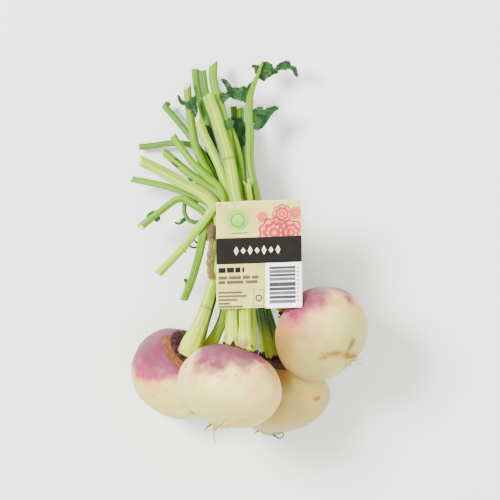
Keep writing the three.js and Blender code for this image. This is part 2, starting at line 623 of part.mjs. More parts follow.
// What the tie holds: each stalk's first pass through it, not what bends back outside it.
function heldPoints() {
  const firstPass = laidStalks.flatMap((samples) => {
    const beyond = samples.findIndex((p) => p.y > TIE_Y + TIE_REACH);
    return samples.slice(0, beyond);
  });
  return [...firstPass, ...tonguePoints()].filter((p) => Math.abs(p.y - TIE_Y) < TIE_REACH);
}

// The tight outline round what the tie holds: one line pressed on it from each direction,
// and a corner where each two lines meet.
function tieOutline() {
  const held = heldPoints();
  const lines = [];
  for (let i = 0; i < TIE_DIRECTIONS; i++) {
    const angle = 2 * Math.PI * i / TIE_DIRECTIONS;
    const [cos, sin] = [Math.cos(angle), Math.sin(angle)];
    const reach = Math.max(...held.map((p) => p.x * cos + p.z * sin + p.radius)) + GAP;
    lines.push({ cos, sin, reach });
  }
  return lines.map((a, i) => {
    const b = lines[(i + 1) % lines.length];
    const cross = a.cos * b.sin - a.sin * b.cos;
    const x = (a.reach * b.sin - b.reach * a.sin) / cross;
    const z = (b.reach * a.cos - a.reach * b.cos) / cross;
    const out = new THREE.Vector2(a.cos + b.cos, a.sin + b.sin).normalize();
    return { x, z, out };
  });
}

function hoop() {
  const corners = tieOutline();
  const points = [];
  for (const { x, z, out } of corners) {
    for (const [offset, along] of TIE_PROFILE) {
      points.push(new THREE.Vector3(x + out.x * offset, TIE_Y + along, z + out.y * offset));
    }
  }
  const [turns, sides] = [corners.length, TIE_PROFILE.length];
  const at = (turn, side) => (turn % turns) * sides + (side % sides);
  const index = [];
  for (let t = 0; t < turns; t++) {
    for (let s = 0; s < sides; s++) {
      index.push(at(t, s), at(t + 1, s), at(t + 1, s + 1), at(t, s), at(t + 1, s + 1), at(t, s + 1));
    }
  }
  return closed(points, index);
}

function knot() {
  const lump = new THREE.SphereGeometry(1, 10, 7);
  lump.scale(...KNOT.size);
  lump.translate(...KNOT.centre);
  return lump;
}

// The tie's two ends, twisted on each other: a flat section that turns as it runs.
function tieEnd() {
  const curve = new THREE.CatmullRomCurve3(TIE_END.path.map(vec), false, 'centripetal');
  const steps = Math.round(curve.getLength() / 1.8);
  const rings = [];
  for (let i = 0; i <= steps; i++) {
    const t = i / steps;
    const [side, up] = across(curve.getTangentAt(t));
    const turn = TIE_END.turn * curve.getLength() * t;
    const across1 = side.clone().multiplyScalar(Math.cos(turn)).addScaledVector(up, Math.sin(turn));
    const across2 = up.clone().multiplyScalar(Math.cos(turn)).addScaledVector(side, -Math.sin(turn));
    const slim = 1 - 0.45 * THREE.MathUtils.smoothstep(t, 0.85, 1);
    rings.push(circle(curve.getPointAt(t), across1, across2, TIE_END.wide * slim, TIE_END.thin * slim, 8));
  }
  return loft(rings, curve.getPointAt(0), curve.getPointAt(1));
}

const bunch = new THREE.Group();
bunch.name = 'turnip_bunch';
bunch.position.set(...TO_MIDDLE);

function put(name, geometry, colour) {
  const [hex, roughness] = COLOURS[colour];
  const bare = geometry.index ? geometry.toNonIndexed() : geometry;
  bare.computeVertexNormals();
  const material = new THREE.MeshStandardMaterial({ color: hex, roughness, metalness: 0 });
  const mesh = new THREE.Mesh(bare, material);
  mesh.name = name;
  bunch.add(mesh);
  return mesh;
}

for (const root of ROOTS) {
  put(root.name, makeRoot(root), root.colour);
}

const rootRoom = Object.fromEntries(ROOTS.map((root) => [root.name, solid(rootBody(root, GAP))]));
STALKS.forEach((stalk, i) => {
  const crown = rootRoom[stalk.name.replace('stalk', 'root').replace(/_\d$/, '')];
  let body = solid(stalkBody(laidStalks[i], 0)).subtract(crown);
  for (const [, lift, outline] of SCRAPS.filter(([host]) => host === stalk.name)) {
    const heightAt = (p) => hostSample(stalk.name, p.x, p.y).z + lift;
    body = body.add(solid(blade(outline, heightAt)));
  }
  for (const [, from, to, points] of TWIGS.filter(([host]) => host === stalk.name)) {
    body = body.add(solid(strand(points, from, to)));
  }
  put(stalk.name, geometryOf(body), stalk.colour);
});

const stalkRoom = laidStalks.map((samples) => solid(stalkBody(samples, GAP)));
for (const leaf of LEAVES) {
  const body = stalkRoom.reduce((rest, room) => rest.subtract(room), leafBody(leaf));
  put(leaf.name, geometryOf(body), 'leaf');
}

put('tie', geometryOf(solid(hoop()).add(solid(knot())).add(solid(tieEnd()))), 'tie');

const tag = put('tag', tagBody(), 'card');
tag.applyMatrix4(tagMatrix());

export default bunch;
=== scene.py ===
import math

import bpy
import numpy as np
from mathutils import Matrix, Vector
from mathutils.geometry import delaunay_2d_cdt


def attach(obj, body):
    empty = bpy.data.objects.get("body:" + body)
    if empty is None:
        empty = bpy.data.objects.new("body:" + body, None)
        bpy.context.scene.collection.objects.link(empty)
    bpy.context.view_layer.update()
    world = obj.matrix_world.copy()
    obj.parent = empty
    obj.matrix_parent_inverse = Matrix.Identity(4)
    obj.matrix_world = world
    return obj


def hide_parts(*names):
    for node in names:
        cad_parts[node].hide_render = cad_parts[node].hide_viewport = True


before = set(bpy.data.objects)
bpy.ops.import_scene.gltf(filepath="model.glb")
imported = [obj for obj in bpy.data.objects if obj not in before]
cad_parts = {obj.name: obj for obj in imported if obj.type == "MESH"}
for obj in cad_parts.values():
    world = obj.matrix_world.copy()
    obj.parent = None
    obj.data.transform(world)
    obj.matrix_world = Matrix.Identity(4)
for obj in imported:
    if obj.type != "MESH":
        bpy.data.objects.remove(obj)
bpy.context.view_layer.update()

MM = 0.001
GAP = 0.45
TO_MIDDLE = np.array([0.4, 1.9, 0.0])
UP = np.array([0.0, 0.0, 1.0])

PROFILE = [
    (0.17, 0.93), (0.3, 0.95), (0.36, 0.89), (0.5, 0.885), (0.72, 0.75), (0.9, 0.47), (0.99, 0.16),
    (1, -0.08), (0.95, -0.36), (0.82, -0.63), (0.62, -0.83), (0.4, -0.955), (0.22, -1.02), (0.13, -1.08),
]

ROOTS = [
    {"name": "root_left", "colour": "root", "centre": (-53.6, -96.3, 34.4),
     "crown": (0.53, 0.69, 0.49), "equator": 35.9, "half": 29.4, "lobe": 0.4,
     "tailRadius": 2.8, "tail": ((0, 0, 0), (-1, -3, -0.5), (1, -7, 0.5)),
     "rootlets": (((-38, -123, 27), (-35.5, -128, 25.5), (-34, -131.5, 25), (-31.5, -131.8, 26.5)),)},
    {"name": "root_front", "colour": "root", "centre": (-13.6, -102.4, 97.2),
     "crown": (0.27, 0.92, -0.28), "equator": 38.1, "half": 28.3, "lobe": 1.3,
     "tailRadius": 3.3, "tail": ((0, 0, 0), (-2.2, -3.4, 0.4), (-3, -6.6, 0.2)),
     "rootlets": (((-25.5, -133, 105), (-25, -137.5, 105), (-24.5, -142.5, 104.5)),)},
    {"name": "root_back", "colour": "root_tan", "centre": (18.4, -110.8, 35.6),
     "crown": (0.12, 0.99, 0.02), "equator": 36.4, "half": 28.6, "lobe": 2.2, "sway": (7.4, 0, 0),
     "tailRadius": 3.6, "tail": ((0, 0, 0), (1, -2, 0.6), (0.5, -3.4, 1.4)),
     "rootlets": (((24, -134, 36), (26.5, -139, 36), (24.5, -141, 36.5), (21.5, -142.5, 37),
                   (19, -143.8, 36.6)),
                  ((10.5, -131, 40), (8, -134.5, 41), (5.2, -137.4, 41.6)))},
    {"name": "root_right", "colour": "root", "centre": (54.3, -64.4, 77.2),
     "crown": (-0.71, 0.56, -0.43), "equator": 36.9, "half": 29.4, "lobe": 3.1,
     "tailRadius": 3.2, "tail": ((0, 0, 0), (2.2, -1.6, 0.8), (4.2, -3.2, 0.4)),
     "rootlets": (((76, -82, 90.5), (79.5, -83.5, 91), (82.8, -82.6, 90.6)),
                  ((76, -83, 90), (79.5, -85.6, 89.6), (82, -86.4, 89)))},
]

# Each stalk: its radius at the crown, middle and tip; the slant of its cut end, as a share of the radius
# to the side and up; its route; and, for one, where along it the radius goes over to the tip's.
STALK_KEYS = ("name", "colour", "radius", "cut", "path", "taper")
STALKS = [dict(zip(STALK_KEYS, row)) for row in (
    ("stalk_back_1", "stalk_deep", (3.2, 2.6, 2.4), (0, -0.4), ((16.5, -83.5, 29), (10.5, -56, 32),
     (3, -25.5, 39), (-6, 4.5, 44.5), (-7.5, 35, 37), (-8.5, 73, 24), (-11, 107, 14))),
    ("stalk_back_2", "stalk_deep", (3.2, 2.7, 2.6), (0.2, -0.4), ((21.5, -83.5, 29), (14, -56, 33),
     (7, -25.5, 40), (0, 4.5, 46), (-2.5, 35, 39), (-4.5, 70.5, 27), (-6, 105.5, 17))),
    ("stalk_back_3", "stalk_deep", (3.2, 2.9, 2.9), (-0.15, -0.3), ((14.5, -82.5, 36), (9, -56, 38),
     (0, -25.5, 42), (-12, 4.5, 46), (-17, 38, 37), (-23.5, 65.5, 27), (-30.5, 91, 18), (-36.5, 111, 11),
     (-39.5, 124.5, 6.5), (-40.5, 136, 3.2))),
    ("stalk_back_4", "stalk_deep", (2.8, 2.3, 2.3), (0, -0.4), ((20, -83.5, 35.5), (12.5, -56, 38.5),
     (-2, -25.5, 45), (-17.5, 4.5, 48.5), (-23, 35, 40), (-28, 57.5, 32), (-34.5, 70.5, 27),
     (-44, 77, 22), (-59, 78.5, 16), (-72, 77, 11), (-83.5, 76, 8))),
    ("stalk_back_5", "stalk_deep", (2.8, 2.4, 2.4), (0.2, -0.3), ((24.5, -84.5, 35), (17, -55.5, 39),
     (6, -25.5, 46), (-9, 4.5, 51), (-17.5, 34.5, 44), (-30, 61.5, 34), (-42, 80.5, 26), (-53.5, 95, 19),
     (-64.5, 108, 13))),
    ("stalk_back_6", "stalk_deep", (3.4, 2.6, 2.4), (0.1, -0.4), ((17.5, -83.5, 43), (11.5, -55.5, 45.5),
     (5, -25.5, 50), (-3, 4.5, 50.5), (-10.5, 42, 42), (-20, 80.5, 33), (-29, 105, 25),
     (-32.5, 119.5, 21), (-34.5, 134, 17))),
    ("stalk_left_1", "stalk", (3, 2.5, 2.4), (-0.2, -0.4), ((-40.5, -73, 44.6), (-31, -44, 49),
     (-25, -18, 51), (-22.5, 4.5, 51), (-24.5, 22, 46), (-31, 32.5, 41), (-41, 37, 38), (-49.5, 41, 35),
     (-63, 45.5, 31), (-76, 48.5, 28), (-88.5, 51, 25))),
    ("stalk_left_2", "stalk_deep", (2.4, 2.2, 1.6), (0, 0), ((-37, -76, 48.6), (-27, -44, 54),
     (-19.5, -18, 54), (-17, 2, 53), (-20, 13, 52), (-27, 18.5, 48), (-34, 18.5, 45), (-40.5, 18, 42),
     (-45.5, 20.5, 40), (-48, 26, 38.5), (-47.5, 32, 37), (-44, 37, 36))),
    ("stalk_right_1", "stalk", (3.4, 3, 3), (0.7, -0.9), ((33.5, -50.5, 57.5), (19, -40.5, 54),
     (2.5, -18, 56), (-11.5, 4.5, 56), (-19.5, 34.5, 48), (-28, 51.5, 41), (-34, 62, 37), (-39.5, 75, 32),
     (-43, 93, 26), (-45, 106, 22), (-46.5, 121.5, 18))),
    ("stalk_left_3", "stalk", (4.6, 3.2, 3), (0.5, -0.4), ((-34, -81, 49.6), (-25.5, -69, 55),
     (-18, -50, 58), (-17.5, -25.5, 59), (-19.5, 4.5, 58), (-18, 29, 52), (-21.5, 38.5, 48),
     (-32, 46.5, 43), (-44.5, 55, 39), (-55, 64, 35), (-64, 71.5, 31))),
    ("stalk_left_4", "stalk", (3.2, 2.6, 2.6), (0.3, -0.8), ((-39.5, -79, 53.6), (-32, -48, 58),
     (-27, -21.5, 59), (-26, 4.5, 57), (-28, 17, 56), (-33, 25, 54), (-40.5, 30.5, 51), (-51, 35.5, 48),
     (-67, 25.5, 44), (-81, 14.5, 41))),
    ("stalk_right_2", "stalk", (2.6, 2.1, 2), (0.1, 0), ((32.5, -48.5, 63), (11, -26, 59),
     (-5.5, 4.5, 55), (-4, 36, 50), (-5, 57, 45), (-8, 75, 41), (-13, 89, 37), (-15, 94, 35.5))),
    ("stalk_front_1", "stalk", (3.6, 3.1, 3.2), (0.9, -0.4), ((1, -79, 86.6), (2.5, -54.5, 80),
     (0, -25, 70), (-1.5, 4.5, 58.5), (-6.5, 34.5, 51), (-11.5, 61, 44), (-14, 76, 40), (-18, 97, 35),
     (-22, 110, 32), (-26.5, 126, 27), (-26.5, 139, 23))),
    ("stalk_front_2", "stalk_pale", (3.6, 3.2, 3.2), (1.1, -0.8), ((-4.5, -77, 86.6), (-4.5, -51, 80),
     (-6.5, -21.5, 71), (-8.5, 4.5, 62), (-14.5, 34.5, 55), (-20.5, 57, 48), (-28.5, 74.5, 44),
     (-34, 86, 41), (-38, 96, 39))),
    ("stalk_front_3", "stalk", (3.2, 2.6, 2.6), (0.1, -0.5), ((-14, -75, 90.6), (-13.5, -51, 83),
     (-14.5, -21.5, 73), (-15, 4.5, 62.5), (-17, 28.5, 57), (-21, 43, 53), (-32, 53, 49),
     (-40.5, 61.5, 46), (-49.5, 73, 42), (-57, 83.5, 38))),
    ("stalk_right_3", "stalk", (3.6, 3, 1.1), (0, 0), ((35.5, -45.5, 62.5), (22.5, -25.5, 58),
     (7, 4.5, 53.5), (6.5, 37.5, 47), (3, 53, 44), (1.2, 66.5, 42), (1.4, 83.5, 39), (0.8, 105, 36),
     (1.2, 112, 35), (3.8, 121, 33.5), (7.5, 130, 32), (10.5, 138.5, 31)), (0.8, 1)),
    ("stalk_right_4", "stalk_pale", (3, 2.6, 2.6), (0.2, 0.2), ((33, -45.5, 69.5), (18.5, -21.5, 66),
     (4.5, 4.5, 59.5), (0.5, 36.5, 54), (-0.5, 45.5, 52))),
    ("stalk_left_5", "stalk", (3.2, 2.9, 2.9), (0.3, -0.3), ((-42, -74.5, 58), (-33, -47.5, 64),
     (-26.5, -21.5, 65), (-24.5, 1, 62.5), (-24, 14, 62.5), (-25.5, 20, 65.5), (-29.5, 20.5, 70.5),
     (-32, 13, 73), (-34.1, 5, 72.8), (-36, -4.5, 67), (-42.5, -26, 52), (-48.5, -40.5, 44))),
    ("stalk_left_6", "stalk_pale", (6.4, 4.2, 4), (0.35, -0.7), ((-44.8, -80, 58.5), (-34, -53.5, 63),
     (-27.5, -32.5, 65), (-23, -14, 67), (-20.8, 4.5, 68), (-21.5, 19, 66), (-24.5, 29, 63),
     (-28, 34, 61), (-36, 40.3, 57), (-49, 47, 52), (-67, 57.5, 44), (-81.5, 64.5, 38))),
    ("stalk_front_4", "stalk_pale", (3.6, 3, 2.9), (0.2, -0.5), ((-10.5, -76, 94.6), (-11.5, -50.5, 86),
     (-13, -21.5, 76), (-12.5, 1, 69.5), (-12.5, 14, 68), (-15.5, 24, 71), (-20, 29, 74.5),
     (-25.5, 28, 75), (-30.5, 21.5, 73), (-38.5, 11, 69), (-50, -3, 62), (-67.5, -21, 54))),
    ("stalk_front_5", "stalk_pale", (4.6, 4.2, 4.2), (0.18, -0.15), ((-2, -78, 95.6), (-2.5, -50.5, 87),
     (-3.5, -21.5, 77), (-3.9, 4.5, 69.5), (-4.3, 18, 66), (-9.5, 35.5, 61), (-14, 61.5, 54),
     (-17, 74.5, 50), (-21.5, 88.5, 46), (-25.5, 100.5, 42), (-30.5, 114, 38))),
)]

SCRAPS = [
    ("stalk_back_5", 0.5, ((-64, 109), (-62.5, 110.5), (-60, 110), (-59, 108), (-60.5, 107),
     (-62.5, 106.5))),
    ("stalk_left_3", 2.6, ((-58, 63.5), (-55, 66.5), (-51.5, 64), (-51.5, 61), (-53, 59), (-56, 61))),
    ("stalk_left_3", 0, ((-46, 53), (-43.5, 52.5), (-40.5, 50), (-42.5, 48.5), (-45, 50))),
    ("stalk_left_3", 0, ((-41.5, 45.5), (-39, 48.5), (-36, 46.5), (-35.5, 43), (-37.5, 42.5),
     (-40, 43.5))),
    ("stalk_left_4", 0, ((-44.5, 34.5), (-41, 35), (-37.5, 33.5), (-38, 28.5), (-41, 30), (-43, 32))),
    ("stalk_left_4", 0.6, ((-77, 20.5), (-75.5, 24.5), (-72, 26.5), (-69, 26.5), (-71, 23), (-74, 20.5))),
    ("stalk_left_4", -0.6, ((-70.5, 19.5), (-68.5, 22.5), (-66, 22), (-66.5, 19.5), (-69, 18))),
    ("stalk_left_2", 0, ((-55.5, 18), (-54.5, 18.5), (-52, 17.5), (-50.5, 20.5), (-46.5, 22.5),
     (-46.5, 19.5), (-49.5, 17), (-52, 16), (-54.5, 16.5))),
    ("stalk_front_4", 0, ((-54, -4), (-51.5, -1.5), (-48, -1), (-46, 0.5), (-47, -2), (-46, -5),
     (-48, -4), (-50.5, -6))),
    ("stalk_left_5", 0, ((-48.5, -25), (-47, -24), (-44.5, -25.5), (-44, -30), (-46.5, -33), (-47.5, -32),
     (-47, -28))),
]

TWIGS = [
    ("stalk_right_4", 1, 0.7, ((0, 43, 52.5), (-2, 46.5, 53.5), (-3.5, 48.5, 54))),
    ("stalk_right_4", 1, 0.7, ((-0.5, 43, 52.5), (0.3, 47.5, 54), (2, 50.5, 55))),
    ("stalk_right_3", 1.2, 0.9, ((1.2, 109.5, 35.5), (4.5, 110.2, 36))),
    ("stalk_left_5", 0.8, 0.5, ((-35.5, 1, 66), (-39, -1, 63), (-42.5, -0.6, 60.5), (-44.8, 1.7, 59))),
    ("stalk_left_5", 0.8, 0.5, ((-34, 3.5, 67), (-37, 1.8, 64), (-39, 3.2, 62.5), (-40.3, 5.6, 62))),
]

LEAF_KEYS = ("name", "host", "lift", "curl", "ripple", "outlines")
LEAVES = [dict(zip(LEAF_KEYS, row)) for row in (
    ("leaf_left", "stalk_right_3", 0.6, 0.06, 0.9, (((-20.5, 126), (-17.5, 126.5), (-14.5, 123.5),
     (-12, 119.5), (-8.5, 120), (-6.3, 119.2), (-3.7, 121.3), (-1.3, 119.8), (1.5, 123.5), (5.4, 125.5),
     (4, 118.5), (2.2, 114), (0.4, 107), (-3.3, 109), (-7.6, 110.5), (-12, 111.7), (-14.6, 112.8),
     (-16.7, 114), (-15.6, 117), (-16.7, 120), (-18.6, 123)), ((-20.7, 116.3), (-18, 115.5), (-14, 115.5),
     (-14, 112.5), (-17, 110), (-18.7, 107.4), (-20.3, 110), (-21.8, 112.8)))),
    ("leaf_right", "stalk_right_3", -0.4, 0.04, 0.9, (((0.6, 100.5), (3, 102.5), (6, 104.3), (8.1, 105.4),
     (11, 105.1), (11.4, 101.8), (14.1, 104.2), (17.1, 104.8), (20, 106.2), (23.6, 104.1), (19.7, 101.8),
     (16.4, 97.5), (13.8, 93.1), (10.2, 88.8), (7.6, 87.8), (4.6, 88.4), (5, 92.3), (3.6, 96)),)),
    ("leaf_top", "stalk_right_3", -2.7, 0.05, 0.8, (((2.5, 136.3), (4.1, 137.8), (6.7, 137.3),
     (8.6, 136.8), (11.1, 139.6), (14.5, 140), (18.5, 137.4), (19.1, 134.6), (21.9, 135.4), (21.3, 136.5),
     (23.7, 138.7), (28.4, 140.4), (31.5, 140.1), (32.2, 137.2), (34.4, 136.4), (36.3, 135.6),
     (37.1, 131.7), (38, 129.6), (36.7, 128.1), (35.2, 129.8), (34, 132.8), (31.6, 134.4), (29.8, 134.6),
     (28.3, 133.3), (25.8, 134.1), (22.8, 133.2), (22.5, 131.3), (18.9, 130.3), (16.5, 128.3),
     (14.4, 127.7), (12.1, 125), (9.3, 126.3), (6.7, 129.1), (5, 131.7), (5.2, 134.5)),)),
    ("leaf_back", "stalk_back_2", 4.2, 0.01, 0.5, (((-14.6, 96.4), (-12, 98.4), (-10.5, 94.6), (-8, 96.2),
     (-6.4, 93.2), (-2.9, 94.5), (-1.6, 89), (-2.4, 84.2), (-1.6, 80), (-2.7, 76.4), (-5.5, 75.5),
     (-6.9, 79.6), (-9.4, 82), (-9.6, 86.2), (-12.9, 89.5), (-13, 93)),)),
    ("leaf_middle", "stalk_front_1", 4.3, 0.02, 0.4, (((-18.5, 92.2), (-17, 94.6), (-15.6, 94.2),
     (-14, 96.2), (-12, 95), (-10.4, 93.2), (-11.6, 91), (-10.8, 88.5), (-13.4, 88.9), (-14.6, 87.4),
     (-16.6, 88.5), (-18, 90)),)),
    ("leaf_upper", "stalk_right_1", 4.2, 0.02, 0.7, (((-53.9, 114.7), (-52.4, 114.5), (-50.6, 111.2),
     (-47.2, 109.1), (-44.6, 109.9), (-42.4, 113.4), (-40, 114.3), (-39.2, 108.2), (-38.2, 104),
     (-38.6, 101.3), (-40, 97.3), (-41.9, 99.5), (-43.2, 102), (-42.8, 104.6), (-46.3, 104.2), (-48, 107),
     (-50.8, 107.6), (-52.6, 110)),)),
)]


# small helpers

def unit(v):
    v = np.asarray(v, float)
    return v / np.maximum(np.linalg.norm(v, axis=-1, keepdims=True), 1e-12)


def smooth(x, low, high):
    t = np.clip((np.asarray(x, float) - low) / (high - low), 0, 1)
    return t * t * (3 - 2 * t)


class Waves:
    """Smooth noise in 3-D: a fixed sum of sine waves with lengths about `size` millimetres."""

    def __init__(self, seed, size, count=14):
        random = np.random.RandomState(seed)
        way = unit(random.normal(size=(count, 3)))
        self.k = way * (2 * math.pi / size) * random.uniform(0.7, 1.5, (count, 1))
        self.phase = random.uniform(0, 2 * math.pi, count)

    def __call__(self, points):
        waves = np.sin(np.asarray(points, float) @ self.k.T + self.phase)
        return waves.sum(-1) / math.sqrt(len(self.phase))


CURVE_STEPS = 200


class Curve:
    """A centripetal Catmull-Rom curve through points, read by share of its length."""

    def __init__(self, points):
        self.points = np.asarray(points, float)
        self.t = np.linspace(0, 1, CURVE_STEPS + 1)
        p = self.raw(self.t)
        self.lengths = lengths_along(p)
        self.length = self.lengths[-1]

    def raw(self, t):
        pts, last = self.points, len(self.points) - 1
        place = np.asarray(t, float) * last
        i = np.minimum(place.astype(int), last - 1)
        w = (place - i)[:, None]
        ext = np.vstack([2 * pts[0] - pts[1], pts, 2 * pts[-1] - pts[-2]])
        p0, p1, p2, p3 = ext[i], ext[i + 1], ext[i + 2], ext[i + 3]
        gap = lambda a, b: np.sqrt(np.linalg.norm(a - b, axis=1))[:, None]
        d0, d1, d2 = gap(p0, p1), gap(p1, p2), gap(p2, p3)
        t1 = ((p1 - p0) / d0 - (p2 - p0) / (d0 + d1) + (p2 - p1) / d1) * d1
        t2 = ((p2 - p1) / d1 - (p3 - p1) / (d1 + d2) + (p3 - p2) / d2) * d1
        square, cube = -3 * p1 + 3 * p2 - 2 * t1 - t2, 2 * p1 - 2 * p2 + t1 + t2
        return p1 + t1 * w + square * w ** 2 + cube * w ** 3

    def at(self, share):
        return self.raw(np.interp(np.asarray(share, float) * self.length, self.lengths, self.t))


def lengths_along(points):
    return np.concatenate([[0], np.cumsum(np.linalg.norm(np.diff(points, axis=0), axis=1))])


def runs_of(points):
    return unit(np.gradient(points, axis=0))


def across(runs):
    side = np.cross(runs, UP)
    side[np.linalg.norm(side, axis=1) < 1e-3] = [1, 0, 0]
    side = unit(side)
    return side, unit(np.cross(side, runs))


def grid_faces(rows, columns, wrap=True):
    r, c = np.meshgrid(np.arange(rows - 1), np.arange(columns if wrap else columns - 1), indexing="ij")
    n = (c + 1) % columns
    faces = np.stack([r * columns + c, r * columns + n, (r + 1) * columns + n, (r + 1) * columns + c], -1)
    return faces.reshape(-1, 4)


def link_object(name, data):
    obj = bpy.data.objects.new(name, data)
    bpy.context.scene.collection.objects.link(obj)
    return obj


class Shape:
    """Collects vertices, faces, material numbers and per-vertex values for one object."""

    def __init__(self):
        self.verts, self.faces, self.marks, self.values, self.count = [], [], [], {}, 0

    def add(self, verts, faces, mark=0, **values):
        verts = np.asarray(verts, float).reshape(-1, 3)
        self.verts.append(verts)
        self.faces += [tuple(int(i) + self.count for i in f) for f in faces]
        self.marks += [mark] * len(faces)
        for name in sorted(set(self.values) | set(values)):
            stack = self.values.setdefault(name, [np.zeros(self.count)] if self.count else [])
            value = values.get(name, 0.0)
            stack.append(np.broadcast_to(np.asarray(value, float).reshape(-1), (len(verts),)).copy())
        self.count += len(verts)
        return self

    def build(self, name, materials, nodes=(), smooth_shade=True):
        mesh = bpy.data.meshes.new(name)
        points = (np.vstack(self.verts) + TO_MIDDLE) * MM
        mesh.from_pydata(points.tolist(), [], self.faces)
        for material in materials:
            mesh.materials.append(material)
        mesh.polygons.foreach_set("material_index", np.array(self.marks, np.int32))
        mesh.polygons.foreach_set("use_smooth", np.full(len(self.faces), smooth_shade))
        for key, stack in self.values.items():
            layer = mesh.attributes.new(key, "FLOAT", "POINT")
            layer.data.foreach_set("value", np.concatenate(stack).astype(np.float32))
        mesh.validate()
        mesh.update()
        obj = link_object(name, mesh)
        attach(obj, "root")
        if nodes:
            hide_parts(*nodes)
        return obj


def tube(shape, points, radii, sides=8, high=1.0, mark=0, wobble=0.0, seed=0, **values):
    """A closed round strand through points, with a fan at each end."""
    points = np.asarray(points, float)
    radii = np.broadcast_to(np.asarray(radii, float), (len(points),))
    side, up = across(runs_of(points))
    angle = np.linspace(0, 2 * math.pi, sides, endpoint=False)
    rough = 1 + wobble * np.random.RandomState(seed).uniform(-1, 1, (len(points), sides))
    ring = (points[:, None] + (side[:, None] * np.cos(angle)[None, :, None]
            + high * up[:, None] * np.sin(angle)[None, :, None]) * (radii[:, None] * rough)[..., None])
    verts = np.vstack([ring.reshape(-1, 3), points[:1], points[-1:]])
    faces = grid_faces(len(points), sides).tolist()
    first, last = len(verts) - 2, len(verts) - 1
    for i in range(sides):
        j = (i + 1) % sides
        faces.append((first, j, i))
        faces.append((last, (len(points) - 1) * sides + i, (len(points) - 1) * sides + j))
    # Faces run so that the surface faces out.
    faces = [tuple(reversed(f)) for f in faces]
    spread = {}
    for key, value in values.items():
        value = np.asarray(value, float)
        if value.ndim == 1 and len(value) == len(points):
            value = np.concatenate([np.repeat(value, sides), value[:1], value[-1:]])
        spread[key] = value
    shape.add(verts, faces, mark, **spread)


# materials

# The light on the bunch, the film's curve and mixing, and how much richer a paint is than its seen colour.
LIGHT_LEVEL = 3.3
FILM_GAMMA = 2.2
FILM_SCALE, FILM_POWER = 3.4, 1.25
RICHER = 1.25
FILM_MIX = np.array([[0.842, 0.078, 0.079], [0.042, 0.878, 0.079], [0.042, 0.078, 0.879]])


def linear(colour):
    """A seen colour as paint: the film's mixing and its soft curve undone, then the light on the bunch."""
    seen = np.array([min(int(colour[i:i + 2], 16) / 255, 0.96) for i in (1, 3, 5)])
    mixed = (FILM_MIX @ seen ** FILM_GAMMA) ** (1 / FILM_GAMMA)
    light = (mixed / (1 - mixed) / FILM_SCALE) ** FILM_POWER
    paint = np.clip(np.linalg.solve(FILM_MIX, light) / LIGHT_LEVEL, 0.002, 2.0)
    grey = float(paint @ (0.2126, 0.7152, 0.0722))
    # Gloss and light from nearby pieces add white, so the paint is a little richer.
    return [float(c) for c in np.clip(grey * (paint / grey) ** RICHER, 0.0, 0.92)] + [1.0]


